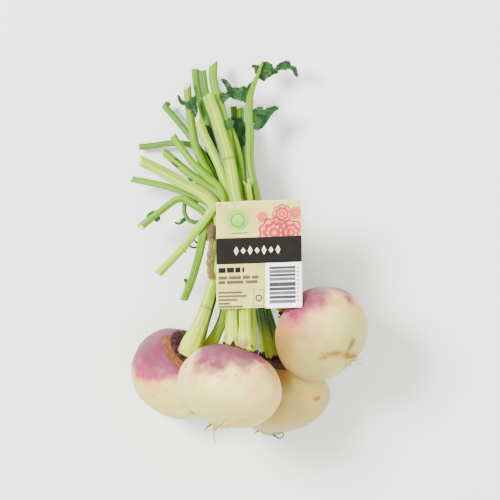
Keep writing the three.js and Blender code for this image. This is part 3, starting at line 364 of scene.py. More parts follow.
class Look:
    """A node material, built a node at a time."""

    def __init__(self, name, roughness=0.5, specular=0.5, subsurface=0.0, sheen=0.0,
            radius=(0.004, 0.003, 0.002)):
        self.material = bpy.data.materials.new(name)
        self.material.use_nodes = True
        self.tree = self.material.node_tree
        self.shader = self.tree.nodes["Principled BSDF"]
        self.shader.inputs["Roughness"].default_value = roughness
        self.shader.inputs["Specular IOR Level"].default_value = specular
        self.shader.inputs["Subsurface Weight"].default_value = subsurface
        self.shader.inputs["Subsurface Radius"].default_value = radius
        self.shader.inputs["Subsurface Scale"].default_value = 1.0
        self.shader.inputs["Sheen Weight"].default_value = sheen
        self.place = self.node("ShaderNodeTexCoord").outputs["Object"]

    def node(self, kind, **settings):
        node = self.tree.nodes.new(kind)
        for key, value in settings.items():
            setattr(node, key, value)
        return node

    def put(self, socket, value):
        if isinstance(value, bpy.types.NodeSocket):
            self.tree.links.new(value, socket)
        elif isinstance(value, str):
            socket.default_value = linear(value)
        else:
            socket.default_value = value

    def value(self, name):
        return self.node("ShaderNodeAttribute", attribute_name=name).outputs["Fac"]

    def math(self, operation, a, b):
        node = self.node("ShaderNodeMath", operation=operation)
        self.put(node.inputs[0], a)
        self.put(node.inputs[1], b)
        return node.outputs[0]

    def times(self, a, b):
        return self.math("MULTIPLY", a, b)

    def plus(self, a, b):
        return self.math("ADD", a, b)

    def minus(self, a, b):
        return self.math("SUBTRACT", a, b)

    def round_axis(self, ax, ay, lat, turning, rising):
        """Noise coordinates round a root's axis, drawn out by how fast each part runs."""
        return self.combine(self.times(ax, turning), self.times(ay, turning), self.times(lat, rising))

    def over(self, skin, share, most, colour):
        """A colour laid over the skin, at most `most` of it."""
        return self.mix(self.times(share, most), skin, colour)

    def combine(self, x, y, z):
        node = self.node("ShaderNodeCombineXYZ")
        for socket, value in zip(node.inputs, (x, y, z)):
            self.put(socket, value)
        return node.outputs[0]

    def noise(self, scale, detail=3.0, rough=0.55, vector=None):
        node = self.node("ShaderNodeTexNoise")
        self.put(node.inputs["Vector"], self.place if vector is None else vector)
        node.inputs["Scale"].default_value = scale
        node.inputs["Detail"].default_value = detail
        node.inputs["Roughness"].default_value = rough
        return node.outputs["Fac"]

    def cells(self, scale):
        node = self.node("ShaderNodeTexVoronoi")
        self.put(node.inputs["Vector"], self.place)
        node.inputs["Scale"].default_value = scale
        return node.outputs["Distance"]

    def span(self, value, low, high, to_low=0.0, to_high=1.0):
        node = self.node("ShaderNodeMapRange", interpolation_type="SMOOTHSTEP")
        self.put(node.inputs["Value"], value)
        for key, number in zip(("From Min", "From Max", "To Min", "To Max"), (low, high, to_low, to_high)):
            node.inputs[key].default_value = number
        return node.outputs["Result"]

    def mix(self, share, a, b):
        node = self.node("ShaderNodeMix", data_type="RGBA")
        self.put(node.inputs[0], share)
        self.put(node.inputs[6], a)
        self.put(node.inputs[7], b)
        return node.outputs[2]

    def ramp(self, value, stops):
        node = self.node("ShaderNodeValToRGB")
        self.put(node.inputs[0], value)
        elements = node.color_ramp.elements
        while len(elements) < len(stops):
            elements.new(0.5)
        for element, (place, colour) in zip(elements, stops):
            element.position = place
            element.color = linear(colour)
        return node.outputs[0]

    def colour(self, value):
        self.put(self.shader.inputs["Base Color"], value)

    def rough(self, value):
        self.put(self.shader.inputs["Roughness"], value)

    def bump(self, height, distance, strength=1.0):
        node = self.node("ShaderNodeBump")
        node.inputs["Strength"].default_value = strength
        node.inputs["Distance"].default_value = distance * MM
        self.put(node.inputs["Height"], height)
        self.put(self.shader.inputs["Normal"], node.outputs[0])
        return node.outputs[0]


def root_look(name, cream, shade, foot, warm, pink, deep, cork_tints, amount):
    """Waxy root skin: cream, mottled pink and purple round the crown, corky brown at the collar."""
    m = Look(name, roughness=0.46, specular=0.28, subsurface=0.1, radius=(0.005, 0.003, 0.002))
    wide = m.noise(20, 3)
    mid = m.noise(75, 4, 0.6)
    fine = m.noise(420, 3, 0.6)
    lat, ax, ay = m.value("lat"), m.value("ax"), m.value("ay")
    skin = m.mix(m.span(wide, 0.35, 0.7), cream, shade)
    skin = m.over(skin, m.span(lat, 0.1, -0.95), 0.7, foot)
    # Warm tan: partly the skin's own tone, partly painted shade where the right root lies against the front
    # root and the back root lies under it.
    warm_and_shade_amount = m.plus(m.value("warm"), m.times(m.minus(wide, 0.5), 0.8))
    skin = m.mix(m.span(warm_and_shade_amount, 0.1, 0.85, 0.0, 0.9), skin, warm)
    # Faint growth lines run round the root.
    lines = m.noise(1.3, 4, 0.65, vector=m.round_axis(ax, ay, lat, 2.0, 28.0))
    skin = m.over(skin, m.span(lines, 0.55, 0.75), 0.35, warm)
    # Pink: the value falls through zero at the zone's edge, and noise breaks that edge up.
    uneven = m.plus(m.times(m.minus(wide, 0.5), 1.3),
                    m.times(m.minus(mid, 0.5), 0.5))
    zone = m.plus(m.value("pink"), uneven)
    share = m.times(m.span(zone, -0.08, 0.2), m.span(wide, 0.3, 0.46, 0.65, amount))
    blush = m.times(m.span(zone, -0.3, 0.05), 0.4 * amount)
    skin = m.mix(blush, skin, "#E2B4A6")
    rich = m.plus(m.times(m.value("pink"), 0.9), m.minus(mid, 0.25))
    tint = m.mix(m.span(rich, 0.1, 0.5), pink, deep)
    tint = m.over(tint, m.span(lines, 0.5, 0.72), 0.18, "#D9A0B4")
    skin = m.mix(share, skin, tint)
    # Cork and scars at the shoulder, cracked in lines round the crown.
    cracks = m.noise(1.0, 5, 0.7, vector=m.round_axis(ax, ay, lat, 3.2, 34.0))
    cork = m.plus(m.value("cork"), m.times(m.minus(mid, 0.5), 0.9))
    cork = m.span(cork, 0.3, 0.6)
    cork_tint = m.ramp(cracks, [(0.32, cork_tints[0]), (0.5, cork_tints[1]), (0.68, cork_tints[2])])
    skin = m.over(skin, cork, 0.95, cork_tint)
    stain = m.times(m.value("stain"), m.span(m.noise(150, 4, 0.65), 0.3, 0.58))
    skin = m.over(skin, stain, 0.95, "#BFA440")
    dots = m.times(m.value("stain"), m.span(m.noise(520, 2, 0.6), 0.56, 0.68))
    skin = m.over(skin, dots, 0.85, "#8A5E22")
    # The collar is streaked away from the crown.
    streaks = m.noise(1.0, 4, 0.65, vector=m.round_axis(ax, ay, lat, 6.0, 5.0))
    crown = m.plus(m.value("crown"), m.times(m.minus(streaks, 0.5), 0.9))
    crown = m.span(crown, 0.35, 0.62)
    crown_tint = m.ramp(streaks, [(0.34, "#2E1020"), (0.5, "#5C2440"), (0.66, "#8A5A4A"), (0.8, "#A9875A")])
    skin = m.mix(crown, skin, crown_tint)
    # Small brown pores.
    pores = m.times(m.span(m.cells(95), 0.16, 0.07), m.span(m.noise(30, 2), 0.5, 0.66))
    skin = m.over(skin, pores, 0.5, "#A68A58")
    m.colour(skin)
    rough_skin = m.math("MAXIMUM", cork, crown)
    m.rough(m.plus(m.span(mid, 0.3, 0.7, 0.4, 0.54), m.times(rough_skin, 0.35)))
    relief = m.plus(m.times(fine, 0.35), m.times(lines, 0.9))
    relief = m.plus(relief, m.times(rough_skin, m.times(cracks, 3.2)))
    relief = m.minus(relief, m.times(pores, 0.6))
    m.bump(relief, 0.16, 0.8)
    return m.material


def stalk_look(name, base, middle, tip, groove_shade, stripe):
    """Fibrous leaf stalk: pale at the crown and greener towards its cut end, with fine ribs along it and
    painted shade in the grooves between them.
    """
    m = Look(name, roughness=0.4, specular=0.25, subsurface=0.05, radius=(0.002, 0.003, 0.001))
    run, tone = m.value("run"), m.value("tone")
    along = m.combine(m.times(m.value("cx"), 2.6), m.times(m.value("cy"), 2.6),
                      m.plus(m.times(run, 0.02), m.times(tone, 37.0)))
    streak = m.noise(2.4, 4, 0.65, vector=along)
    patch = m.noise(45, 3)
    share = m.plus(m.math("DIVIDE", run, 200.0), m.times(m.minus(patch, 0.5), 0.35))
    share = m.plus(share, m.times(tone, 0.25))
    skin = m.ramp(share, [(0.0, base), (0.22, base), (0.5, middle), (0.9, tip)])
    skin = m.over(skin, m.span(streak, 0.45, 0.7), 0.4, stripe)
    # Painted shade: the grooves between the ribs and the channel along the stalk are darkened.
    skin = m.over(skin, m.span(m.value("rib"), 0.2, -0.9), 0.5, groove_shade)
    # The foot of a stalk is blanched, and flushed purple where it leaves the crown.
    skin = m.mix(m.span(run, 30.0, 9.0, 0.0, 0.6), skin, "#D8DC94")
    skin = m.over(skin, m.span(run, 11.0, 6.0, 0.0, 0.7), m.span(patch, 0.5, 0.62), "#A8707C")
    # Joint lines and small scuffs.
    skin = m.over(skin, m.value("joint"), 0.7, "#4F6F22")
    scuff = m.times(m.span(m.cells(160), 0.2, 0.08), m.span(m.noise(38, 2), 0.56, 0.7))
    skin = m.over(skin, scuff, 0.5, "#8C7B3A")
    m.colour(skin)
    m.rough(m.span(streak, 0.3, 0.7, 0.34, 0.5))
    relief = m.plus(m.times(streak, 1.0), m.times(m.noise(900, 2), 0.25))
    m.bump(relief, 0.22, 0.75)
    return m.material


def cut_look():
    """The cut end of a stalk: wet pale pith, a greener rim and darker strands near the rim."""
    m = Look("stalk_cut", roughness=0.35, specular=0.5, subsurface=0.15, radius=(0.002, 0.003, 0.001))
    out = m.value("out")
    skin = m.ramp(out, [(0.0, "#E9EDC0"), (0.6, "#DDE6A4"), (0.82, "#C4D676"), (1.0, "#8FB247")])
    strands = m.times(m.span(m.cells(900), 0.3, 0.12), m.span(out, 0.5, 0.72))
    skin = m.over(skin, strands, 0.5, "#7E9A3E")
    skin = m.over(skin, m.span(m.noise(350, 3), 0.55, 0.75), 0.35, "#B9A866")
    m.colour(skin)
    m.bump(m.noise(1400, 3), 0.15, 0.7)
    return m.material


def leaf_look(name, tints):
    m = Look(name, roughness=0.5, specular=0.18, subsurface=0.03, radius=(0.001, 0.002, 0.001))
    patch = m.noise(110, 4, 0.6)
    skin = m.ramp(patch, list(zip((0.25, 0.5, 0.75), tints)))
    skin = m.over(skin, m.value("vein"), 0.22, "#7FA858")
    skin = m.over(skin, m.value("edge"), 0.4, "#5E8F3C")
    skin = m.over(skin, m.span(m.noise(420, 3), 0.6, 0.74), 0.4, "#173F22")
    m.colour(skin)
    m.rough(m.span(patch, 0.3, 0.7, 0.38, 0.56))
    relief = m.plus(m.times(m.cells(520), 0.9), m.times(m.value("vein"), 0.8))
    m.bump(relief, 0.3, 0.8)
    return m.material


def raffia_look(name, light, dark, deep):
    """Dry raffia: many flat fibres side by side."""
    m = Look(name, roughness=0.78, specular=0.25, sheen=0.25)
    fibres = m.combine(m.times(m.value("fibre"), 9.0), m.times(m.value("along"), 0.05), m.value("hank"))
    strand = m.noise(1.0, 5, 0.7, vector=fibres)
    skin = m.ramp(strand, [(0.3, deep), (0.47, dark), (0.66, light)])
    skin = m.over(skin, m.span(m.noise(160, 3), 0.5, 0.72), 0.45, dark)
    m.colour(skin)
    m.bump(m.plus(strand, m.times(m.noise(1500, 2), 0.3)), 0.35, 0.9)
    return m.material


def card_look():
    m = Look("card", roughness=0.62, specular=0.25)
    skin = m.mix(m.span(m.noise(60, 3), 0.35, 0.7), "#DBD8B4", "#D4CFA4")
    skin = m.over(skin, m.span(m.noise(1600, 4, 0.75), 0.45, 0.7), 0.25, "#CBBE8E")
    skin = m.over(skin, m.value("edge"), 0.5, "#F2EBD4")
    m.colour(skin)
    m.bump(m.noise(2400, 4, 0.7), 0.05, 0.6)
    return m.material


def ink_look(name, colour, worn, roughness=0.6, specular=0.2):
    """Printed ink: a little uneven, with tiny gaps where the card shows through."""
    m = Look(name, roughness=roughness, specular=specular)
    skin = m.mix(m.span(m.noise(140, 3), 0.3, 0.72), colour, worn)
    skin = m.over(skin, m.span(m.noise(2600, 3, 0.7), 0.64, 0.76), 0.15, "#D8CDAE")
    m.colour(skin)
    m.bump(m.noise(2400, 3, 0.7), 0.03, 0.5)
    return m.material


# the stalks' lie, as the solids have it

# The step along a stalk, how often its line is straightened, and how hard it is pulled to its route.
LAY_STEP = 1.5
STIFFNESS = 700
PULL = 0.02


def sample_stalk(stalk):
    curve = Curve(stalk["path"])
    steps = int(math.floor(curve.length / LAY_STEP + 0.5))
    t = np.arange(steps + 1) / steps
    crown, middle, tip = stalk["radius"]
    start, end = stalk.get("taper", (0.4, 0.9))
    radius = crown + (middle - crown) * smooth(t, 0, 0.25) + (tip - middle) * smooth(t, start, end)
    return curve.at(t), radius


def lay_stalks():
    laid, result = np.zeros((0, 4)), []
    for stalk in STALKS:
        points, radius = sample_stalk(stalk)
        need = radius.copy()
        if len(laid):
            reach = radius[:, None] + laid[None, :, 3] + GAP
            plan = ((points[:, None, :2] - laid[None, :, :2]) ** 2).sum(-1)
            above = laid[None, :, 2] + np.sqrt(np.maximum(reach ** 2 - plan, 0))
            over = np.where(plan < reach ** 2, above, -1e9)
            need = np.maximum(need, over.max(1))
        z = np.maximum(points[:, 2], need)
        for _ in range(STIFFNESS):
            straight = z.copy()
            straight[1:-1] = (z[:-2] + z[2:]) / 2
            new = np.maximum(need, straight + (points[:, 2] - straight) * PULL)
            new[0] = z[0]
            z = new
        points[:, 2] = z
        laid = np.vstack([laid, np.column_stack([points, radius])])
        result.append((points, radius))
    return result


LAID = {stalk["name"]: got for stalk, got in zip(STALKS, lay_stalks())}


def eased(values, spread=3.0):
    """The same run of numbers with its small kinks taken out, ends kept."""
    k = np.exp(-0.5 * (np.arange(-9, 10) / spread) ** 2)
    k /= k.sum()
    padded = np.concatenate([2 * values[0] - values[9:0:-1], values, 2 * values[-1] - values[-2:-11:-1]])
    return np.convolve(padded, k, "valid")


# the roots

# Where each root is pink, warm tan and corky: directions, how far each zone reaches, and how strongly. The
# warm tan is partly the skin's own tone and partly painted shade, where the right root lies against the
# front root and the back root lies under it.
ROOT_LOOKS = {
    "root_left": {"toward": (0.1, 0.965, 0.2), "cosine": 0.14, "warm": (0.3, -0.8, 0.5), "warm_and_shade_amount": 0.35,
                  "cork": (-0.35, 0.3, 0.85), "cork_size": 0.5, "cork_from": (0.69, 0.77)},
    "root_front": {"toward": (0.1, 0.85, 0.52), "cosine": 0.57, "warm": (0.35, -0.9, 0.1), "warm_and_shade_amount": 0.55,
                   "cork": (0.6, 0.75, 0.3), "cork_size": 0.6, "cork_from": (0.76, 0.84)},
    "root_back": {"toward": (0, 1, 0), "cosine": 3, "warm": (-0.45, 0.7, 0.55), "warm_and_shade_amount": 0.8,
                  "cork": (0.1, 0.85, 0.5), "cork_size": 0.8, "cork_from": (0.62, 0.8)},
    "root_right": {"toward": (-0.33, 0.944, 0.01), "cosine": 0.48, "warm": (-0.85, -0.4, 0.3),
                   "warm_and_shade_amount": 0.85, "cork": (-0.5, 0.7, 0.2), "cork_size": 0.2, "cork_from": (0.7, 0.8)},
}
# Scars and root marks, as routes in plan over the upper side: root, reach, points.
MARKS = [
    ("root_right", 2.8, ((53.5, -80.5), (57.5, -79.4), (64.8, -78), (70.7, -78.7), (75.8, -80.2),
     (78.7, -82.4))),
    ("root_right", 2.6, ((77, -69.5), (74.5, -74.3), (70.7, -78.7))),
    ("root_right", 3.6, ((72, -80), (77, -83))),
    ("root_back", 2.0, ((50.5, -114), (52.5, -113.5))),
    ("root_front", 3.6, ((-27, -131.5), (-23, -132.5))),
    ("root_left", 3.0, ((-40, -124), (-35, -126))),
]


def spline(points, share):
    """A uniform Catmull-Rom spline read by share of its length."""
    p = np.asarray(points, float)
    ext = np.vstack([p[:1], p, p[-1:]])

    def raw(t):
        place = np.asarray(t) * (len(p) - 1)
        i = np.minimum(place.astype(int), len(p) - 2)
        w = (place - i)[:, None]
        a, b, c, d = ext[i], ext[i + 1], ext[i + 2], ext[i + 3]
        v0, v1 = (c - a) / 2, (d - b) / 2
        return (2 * b - 2 * c + v0 + v1) * w ** 3 + (-3 * b + 3 * c - 2 * v0 - v1) * w ** 2 + v0 * w + b

    t = np.linspace(0, 1, 401)
    q = raw(t)
    length = lengths_along(q)
    return raw(np.interp(np.asarray(share) * length[-1], length, t))


ROOT_ROWS, ROOT_COLUMNS = 190, 240
LEAF_BASES = 22
TAIL_HAIRS = 9


def root_frame(root):
    axis = unit(root["crown"])
    east = unit(np.cross(axis, UP))
    return axis, east, np.cross(east, axis)


def around(east, north, angle):
    return east * math.cos(angle) + north * math.sin(angle)


def root_values(root, points, lat, angle):
    """The per-vertex values that the skin material reads."""
    looks = ROOT_LOOKS[root["name"]]
    centre = np.array(root["centre"], float)
    out = unit(points - centre)
    pink = out @ unit(looks["toward"]) - looks["cosine"]
    collar = smooth(lat, 0.8, 0.885)
    patch = smooth(out @ unit(looks["cork"]), 1 - looks["cork_size"], 1.0)
    cork = smooth(lat, *looks["cork_from"]) * np.clip(patch * 1.6, 0, 1)
    # The warm tan mask: partly the skin's own tone, partly painted shade on the sides that face the front
    # root.
    warm = looks["warm_and_shade_amount"] * smooth(out @ unit(looks["warm"]), -0.1, 1.0)
    stain = np.zeros(len(points))
    for name, reach, route in MARKS:
        if name != root["name"]:
            continue
        route = np.asarray(route, float)
        for a, b in zip(route[:-1], route[1:]):
            t = np.clip(((points[:, :2] - a) @ (b - a)) / ((b - a) @ (b - a)), 0, 1)
            away = np.linalg.norm(points[:, :2] - (a + t[:, None] * (b - a)), axis=1)
            stain = np.maximum(stain, smooth(away, reach * 1.6, 0) * (points[:, 2] > centre[2]))
    return {"lat": lat, "ax": np.cos(angle), "ay": np.sin(angle), "pink": pink, "cork": cork,
            "stain": stain, "crown": collar, "warm": warm}


def make_root(root, index, material, hair):
    shape = Shape()
    axis, east, north = root_frame(root)
    centre, sway = np.array(root["centre"], float), np.array(root.get("sway", (0, 0, 0)), float)
    profile = spline(PROFILE, np.linspace(0, 1, ROOT_ROWS))
    # The top closes in a shallow dish inside the collar, and the foot closes round the tail.
    dish = np.linspace(0.02, profile[0, 0], 8)[:-1]
    top = np.column_stack([dish, np.full(len(dish), profile[0, 1] - 0.01)])
    profile = np.vstack([top, profile, [[0.09, -1.1], [0.03, -1.11]]])
    rows = len(profile)
    angle = np.linspace(0, 2 * math.pi, ROOT_COLUMNS, endpoint=False)
    lobes = 1 + 0.014 * np.cos(3 * angle + root["lobe"]) + 0.01 * np.cos(2 * angle - root["lobe"])
    reach = profile[:, :1] * root["equator"] * lobes
    bulge = np.maximum(0, 1 - profile[:, 1] ** 2)[:, None, None] * sway
    grid = (centre + bulge + axis * (profile[:, 1] * root["half"])[:, None, None]
            + east * (reach * np.cos(angle))[..., None] + north * (reach * np.sin(angle))[..., None])
    lat = np.repeat(profile[:, 1], ROOT_COLUMNS)
    turn = np.tile(angle, rows)
    points = grid.reshape(-1, 3)
    out = unit(points - centre)
    lumps, dents = Waves(10 + index, 34), Waves(20 + index, 13)
    ridges, rough = Waves(30 + index, 6), Waves(40 + index, 2.2)
    relief = 0.32 * lumps(points) + 0.12 * dents(points)
    # Fine rings on the shoulder, broken along their run, and creases that gather at the tail.
    rings = np.sin(lat * 95 + 1.5 * dents(points) + index)
    relief += 0.07 * rings * smooth(lat, 0.15, 0.7) * (0.5 + 0.5 * ridges(points))
    relief += 0.3 * np.sin(turn * 11 + 1.2 * dents(points)) * smooth(lat, -0.82, -1.02)
    # The collar: rows of scales where older leaves have dropped.
    collar = smooth(lat, 0.8, 0.9)
    scales = np.abs(np.sin(turn * 6.5 + 3 * np.sin(lat * 60 + index))) ** 0.6
    relief += collar * (0.75 * scales + 0.28 * rough(points) - 0.3)
    values = root_values(root, points, lat, turn)
    relief += values["cork"] * (0.18 * rough(points) + 0.12 * ridges(points))
    relief += values["stain"] * (0.35 * np.abs(rough(points)) - 0.1)
    points = points + out * relief[:, None]
    points[:, 2] = np.maximum(points[:, 2], 0.0)
    shape.add(points, grid_faces(rows, ROOT_COLUMNS)[:, ::-1], 0, **values)
    add_leaf_bases(shape, root, index)
    add_tail(shape, root, index)
    return shape.build(root["name"] + "_skin", [material, hair], [root["name"]])


def add_leaf_bases(shape, root, index):
    """Short dry stubs of dropped leaves, standing round the crown."""
    random = np.random.RandomState(50 + index)
    axis, east, north = root_frame(root)
    centre, half, equator = np.array(root["centre"], float), root["half"], root["equator"]
    for k in range(LEAF_BASES):
        a = 2 * math.pi * (k + random.uniform(-0.3, 0.3)) / LEAF_BASES
        ring = random.uniform(0.27, 0.38)
        foot = centre + axis * half * random.uniform(0.9, 0.93) + around(east, north, a) * ring * equator
        lean = unit(axis * random.uniform(0.4, 0.9) + around(east, north, a) * random.uniform(0.1, 0.7))
        length = random.uniform(2.6, 5.8)
        t = np.linspace(0, 1, 6)
        path = foot - lean * 1.2 + lean * (length + 1.2) * t[:, None]
        radii = random.uniform(1.3, 2.1) * np.array([1, 1, 0.95, 0.8, 0.55, 0.2])
        tube(shape, path, radii, sides=9, high=random.uniform(0.45, 0.7), wobble=0.12, seed=k,
             lat=0.9, ax=math.cos(a), ay=math.sin(a), pink=-1.0, cork=random.uniform(0.0, 0.5),
             stain=0.0, crown=random.uniform(0.6, 1.0))


# Thin curled rootlets that only the picture shows: root, route.
CURLS = [
    ("root_back", ((15.5, -135.5, 37), (17, -140, 37.5), (20, -143, 38), (23.5, -145, 38),
     (26.4, -143.6, 38), (26, -140.8, 37.5), (23.4, -140.4, 37))),
    ("root_back", ((13.5, -135.5, 36), (9.5, -138, 36.5), (7, -140, 36), (4.8, -141.6, 35.5))),
    ("root_back", ((17, -136, 33), (19, -139.5, 32), (22.5, -141.5, 31.5), (24.5, -142, 30))),
    ("root_front", ((-27, -130, 103), (-30, -132.5, 104), (-31.5, -134.5, 103))),
]


def add_tail(shape, root, index):
    """The taproot's stub, its rootlets and fine hairs."""
    random = np.random.RandomState(70 + index)
    axis, east, north = root_frame(root)
    foot = np.array(root["centre"], float) - axis * 0.98 * root["half"]
    path = [foot + axis * 4] + [foot + np.array(p, float) for p in root["tail"]]
    curve = Curve(path)
    t = np.linspace(0, 1, 26)
    radii = root["tailRadius"] + (0.9 - root["tailRadius"]) * t ** 1.8
    points = curve.at(t) + 0.25 * np.column_stack([Waves(80 + index, 4)(curve.at(t))] * 3)
    tube(shape, points, radii, sides=18, wobble=0.07, seed=index, lat=-1.0, ax=1.0, ay=0.0, pink=-1.0,
         cork=0.0, stain=0.35 + 0.5 * t, crown=0.0)
    curls = [route for name, route in CURLS if name == root["name"]]
    t = np.linspace(0, 1, 24)
    for route in (*root["rootlets"], *curls):
        tube(shape, Curve(route).at(t), 0.85 - 0.5 * t, sides=8, mark=1 if route in curls else 0,
             wobble=0.12, seed=3, lat=-1.0, ax=0.0, ay=1.0, pink=-1.0, cork=0.0,
             stain=0.5 - 0.3 * t, crown=0.0)
    # Fine hairs near the tail and at the end of each rootlet.
    angles, reaches = random.uniform(0, 6.28, TAIL_HAIRS), random.uniform(2.5, 7, TAIL_HAIRS)
    starts = [(foot + around(east, north, a) * r, -axis * 0.7 + around(east, north, a) * 0.7)
              for a, r in zip(angles, reaches)]
    for route in root["rootlets"]:
        before, end = np.array(route[-2:], float)
        starts.append((end, unit(end - before)))
    for k, (start, way) in enumerate(starts):
        length = random.uniform(3.0, 6.5) if k < TAIL_HAIRS else random.uniform(2.0, 3.0)
        bend = unit(random.normal(size=3))
        t = np.linspace(0, 1, 10)[:, None]
        route = start - way * 0.8 + way * (length + 0.8) * t + bend * 1.1 * np.sin(t * 2.6)
        route[:, 2] = np.maximum(route[:, 2], 0.4)
        tube(shape, route, 0.26 - 0.16 * t[:, 0], sides=5, mark=1, fibre=0.5, along=0.0)


# the stalks

STALK_SIDES = 32
CUT_THREADS = 5
JOINTS = {"stalk_left_6": 38.0, "stalk_left_5": 26.0, "stalk_front_5": 150.0}


def make_stalk(stalk, index, material, cut, leaf):
    shape = Shape()
    name = stalk["name"]
    random = np.random.RandomState(200 + index)
    points, radius = LAID[name]
    points = points.copy()
    points[:, 2] = np.maximum(eased(points[:, 2]), radius * 0.98)
    run = np.arange(len(points)) * LAY_STEP
    side, up = across(runs_of(points))
    # The foot is broad where it grew round the crown, and a fold is pressed a little flat.
    broad = 1 + 0.22 * smooth(run, 22, 6)
    angle = np.linspace(0, 2 * math.pi, STALK_SIDES, endpoint=False)
    ribs = random.randint(8, 11)
    lean = random.uniform(0, 6.28)
    twist = 0.5 * np.sin(run / 60 + lean)[:, None]
    rib = np.cos(ribs * (angle[None] + twist) + lean)
    from_channel = np.angle(np.exp(1j * (angle[None] + twist - 1.57 - 0.5 * math.sin(lean))))
    channel = np.exp(-(from_channel / 0.45) ** 2)
    form = 1.03 + 0.035 * rib - 0.09 * channel * smooth(run, 15, 45)[:, None]
    swell = 1 + 0.025 * np.sin(run / 17 + lean) + 0.02 * np.sin(run / 7.3 + index)
    joint = np.zeros(len(points))
    if name in JOINTS:
        joint = np.exp(-((run - JOINTS[name]) / 0.9) ** 2)
        swell = swell + 0.05 * np.exp(-((run - JOINTS[name] - 2) / 4) ** 2) - 0.04 * joint
    reach = (radius * swell)[:, None] * form
    wide = reach * broad[:, None]
    ring = (points[:, None] + side[:, None] * (wide * np.cos(angle))[..., None]
            + up[:, None] * (reach * np.sin(angle))[..., None])
    # The knife's slant carries the last rings with it.
    slant_side, slant_up = stalk["cut"]
    ways = runs_of(points)
    pull = smooth(run, run[-1] - 7, run[-1])[:, None]
    shift = pull * (slant_side * np.cos(angle) + slant_up * np.sin(angle)) * radius[:, None]
    ring = ring + ways[:, None] * shift[..., None]
    count, sides = ring.shape[:2]
    tone = random.uniform(-0.5, 0.5)
    # The rib value marks the grooves and the channel, which the stalk material darkens as painted shade.
    base = {"run": np.repeat(run, sides), "cx": np.tile(np.cos(angle), count),
            "cy": np.tile(np.sin(angle), count), "rib": (rib - 1.2 * channel).reshape(-1),
            "tone": tone, "joint": np.repeat(joint, sides), "out": 1.0}
    shape.add(ring.reshape(-1, 3), grid_faces(count, sides)[:, ::-1], 0, **base)
    # The cut face is a little hollow, with a raised rim of skin.
    rim = ring[-1]
    centre = rim.mean(0)
    inner, outs = [], []
    for share, sink in ((0.98, 0.0), (0.9, 0.12), (0.7, 0.05), (0.45, 0.22), (0.2, 0.42), (0.03, 0.5)):
        inner.append(centre + (rim - centre) * share - ways[-1] * sink)
        outs += [share] * sides
    shape.add(np.vstack(inner), grid_faces(len(inner), sides)[:, ::-1], 1, out=np.array(outs),
              run=run[-1], tone=tone)
    shape.add(np.vstack([rim, inner[0]]), grid_faces(2, sides)[:, ::-1], 1, out=1.0, run=run[-1], tone=tone)
    # Fine threads of skin torn at the cut.
    for _ in range(CUT_THREADS):
        at = random.randint(sides)
        start = rim[at]
        t = np.linspace(0, 1, 6)[:, None]
        way = unit(ways[-1] + 0.5 * unit(start - centre) + 0.3 * random.normal(size=3))
        tube(shape, start - way * 0.5 + way * random.uniform(0.6, 1.4) * t, 0.14 - 0.09 * t[:, 0],
             sides=5, run=run[-1], tone=tone, out=0.9)
    for host, lift, outline in SCRAPS:
        if host == name:
            add_blade(shape, outline, name, lift, 0.0, 0.35, 2, random, jag=0.25)
    for host, start, end, route in TWIGS:
        if host == name:
            t = np.linspace(0, 1, 20)
            # The curls beside the tie are withered, so they are as dark as the leaves.
            mark, fuller = (2, 1.35) if name == "stalk_left_5" else (0, 1.0)
            tube(shape, Curve(route).at(t), (start + (end * 0.8 - start) * t) * fuller, sides=10,
                 mark=mark, wobble=0.05, run=90.0, tone=tone, rib=0.0, out=0.9)
    return shape.build(name + "_stem", [material, cut, leaf], [name])


# the leaves

def host_height(host, xy):
    points, _ = LAID[host]
    away = ((xy[:, None, :] - points[None, :, :2]) ** 2).sum(-1)
    nearest = away.argmin(1)
    return points[nearest, 2], np.sqrt(away.min(1)), points[nearest, :2]


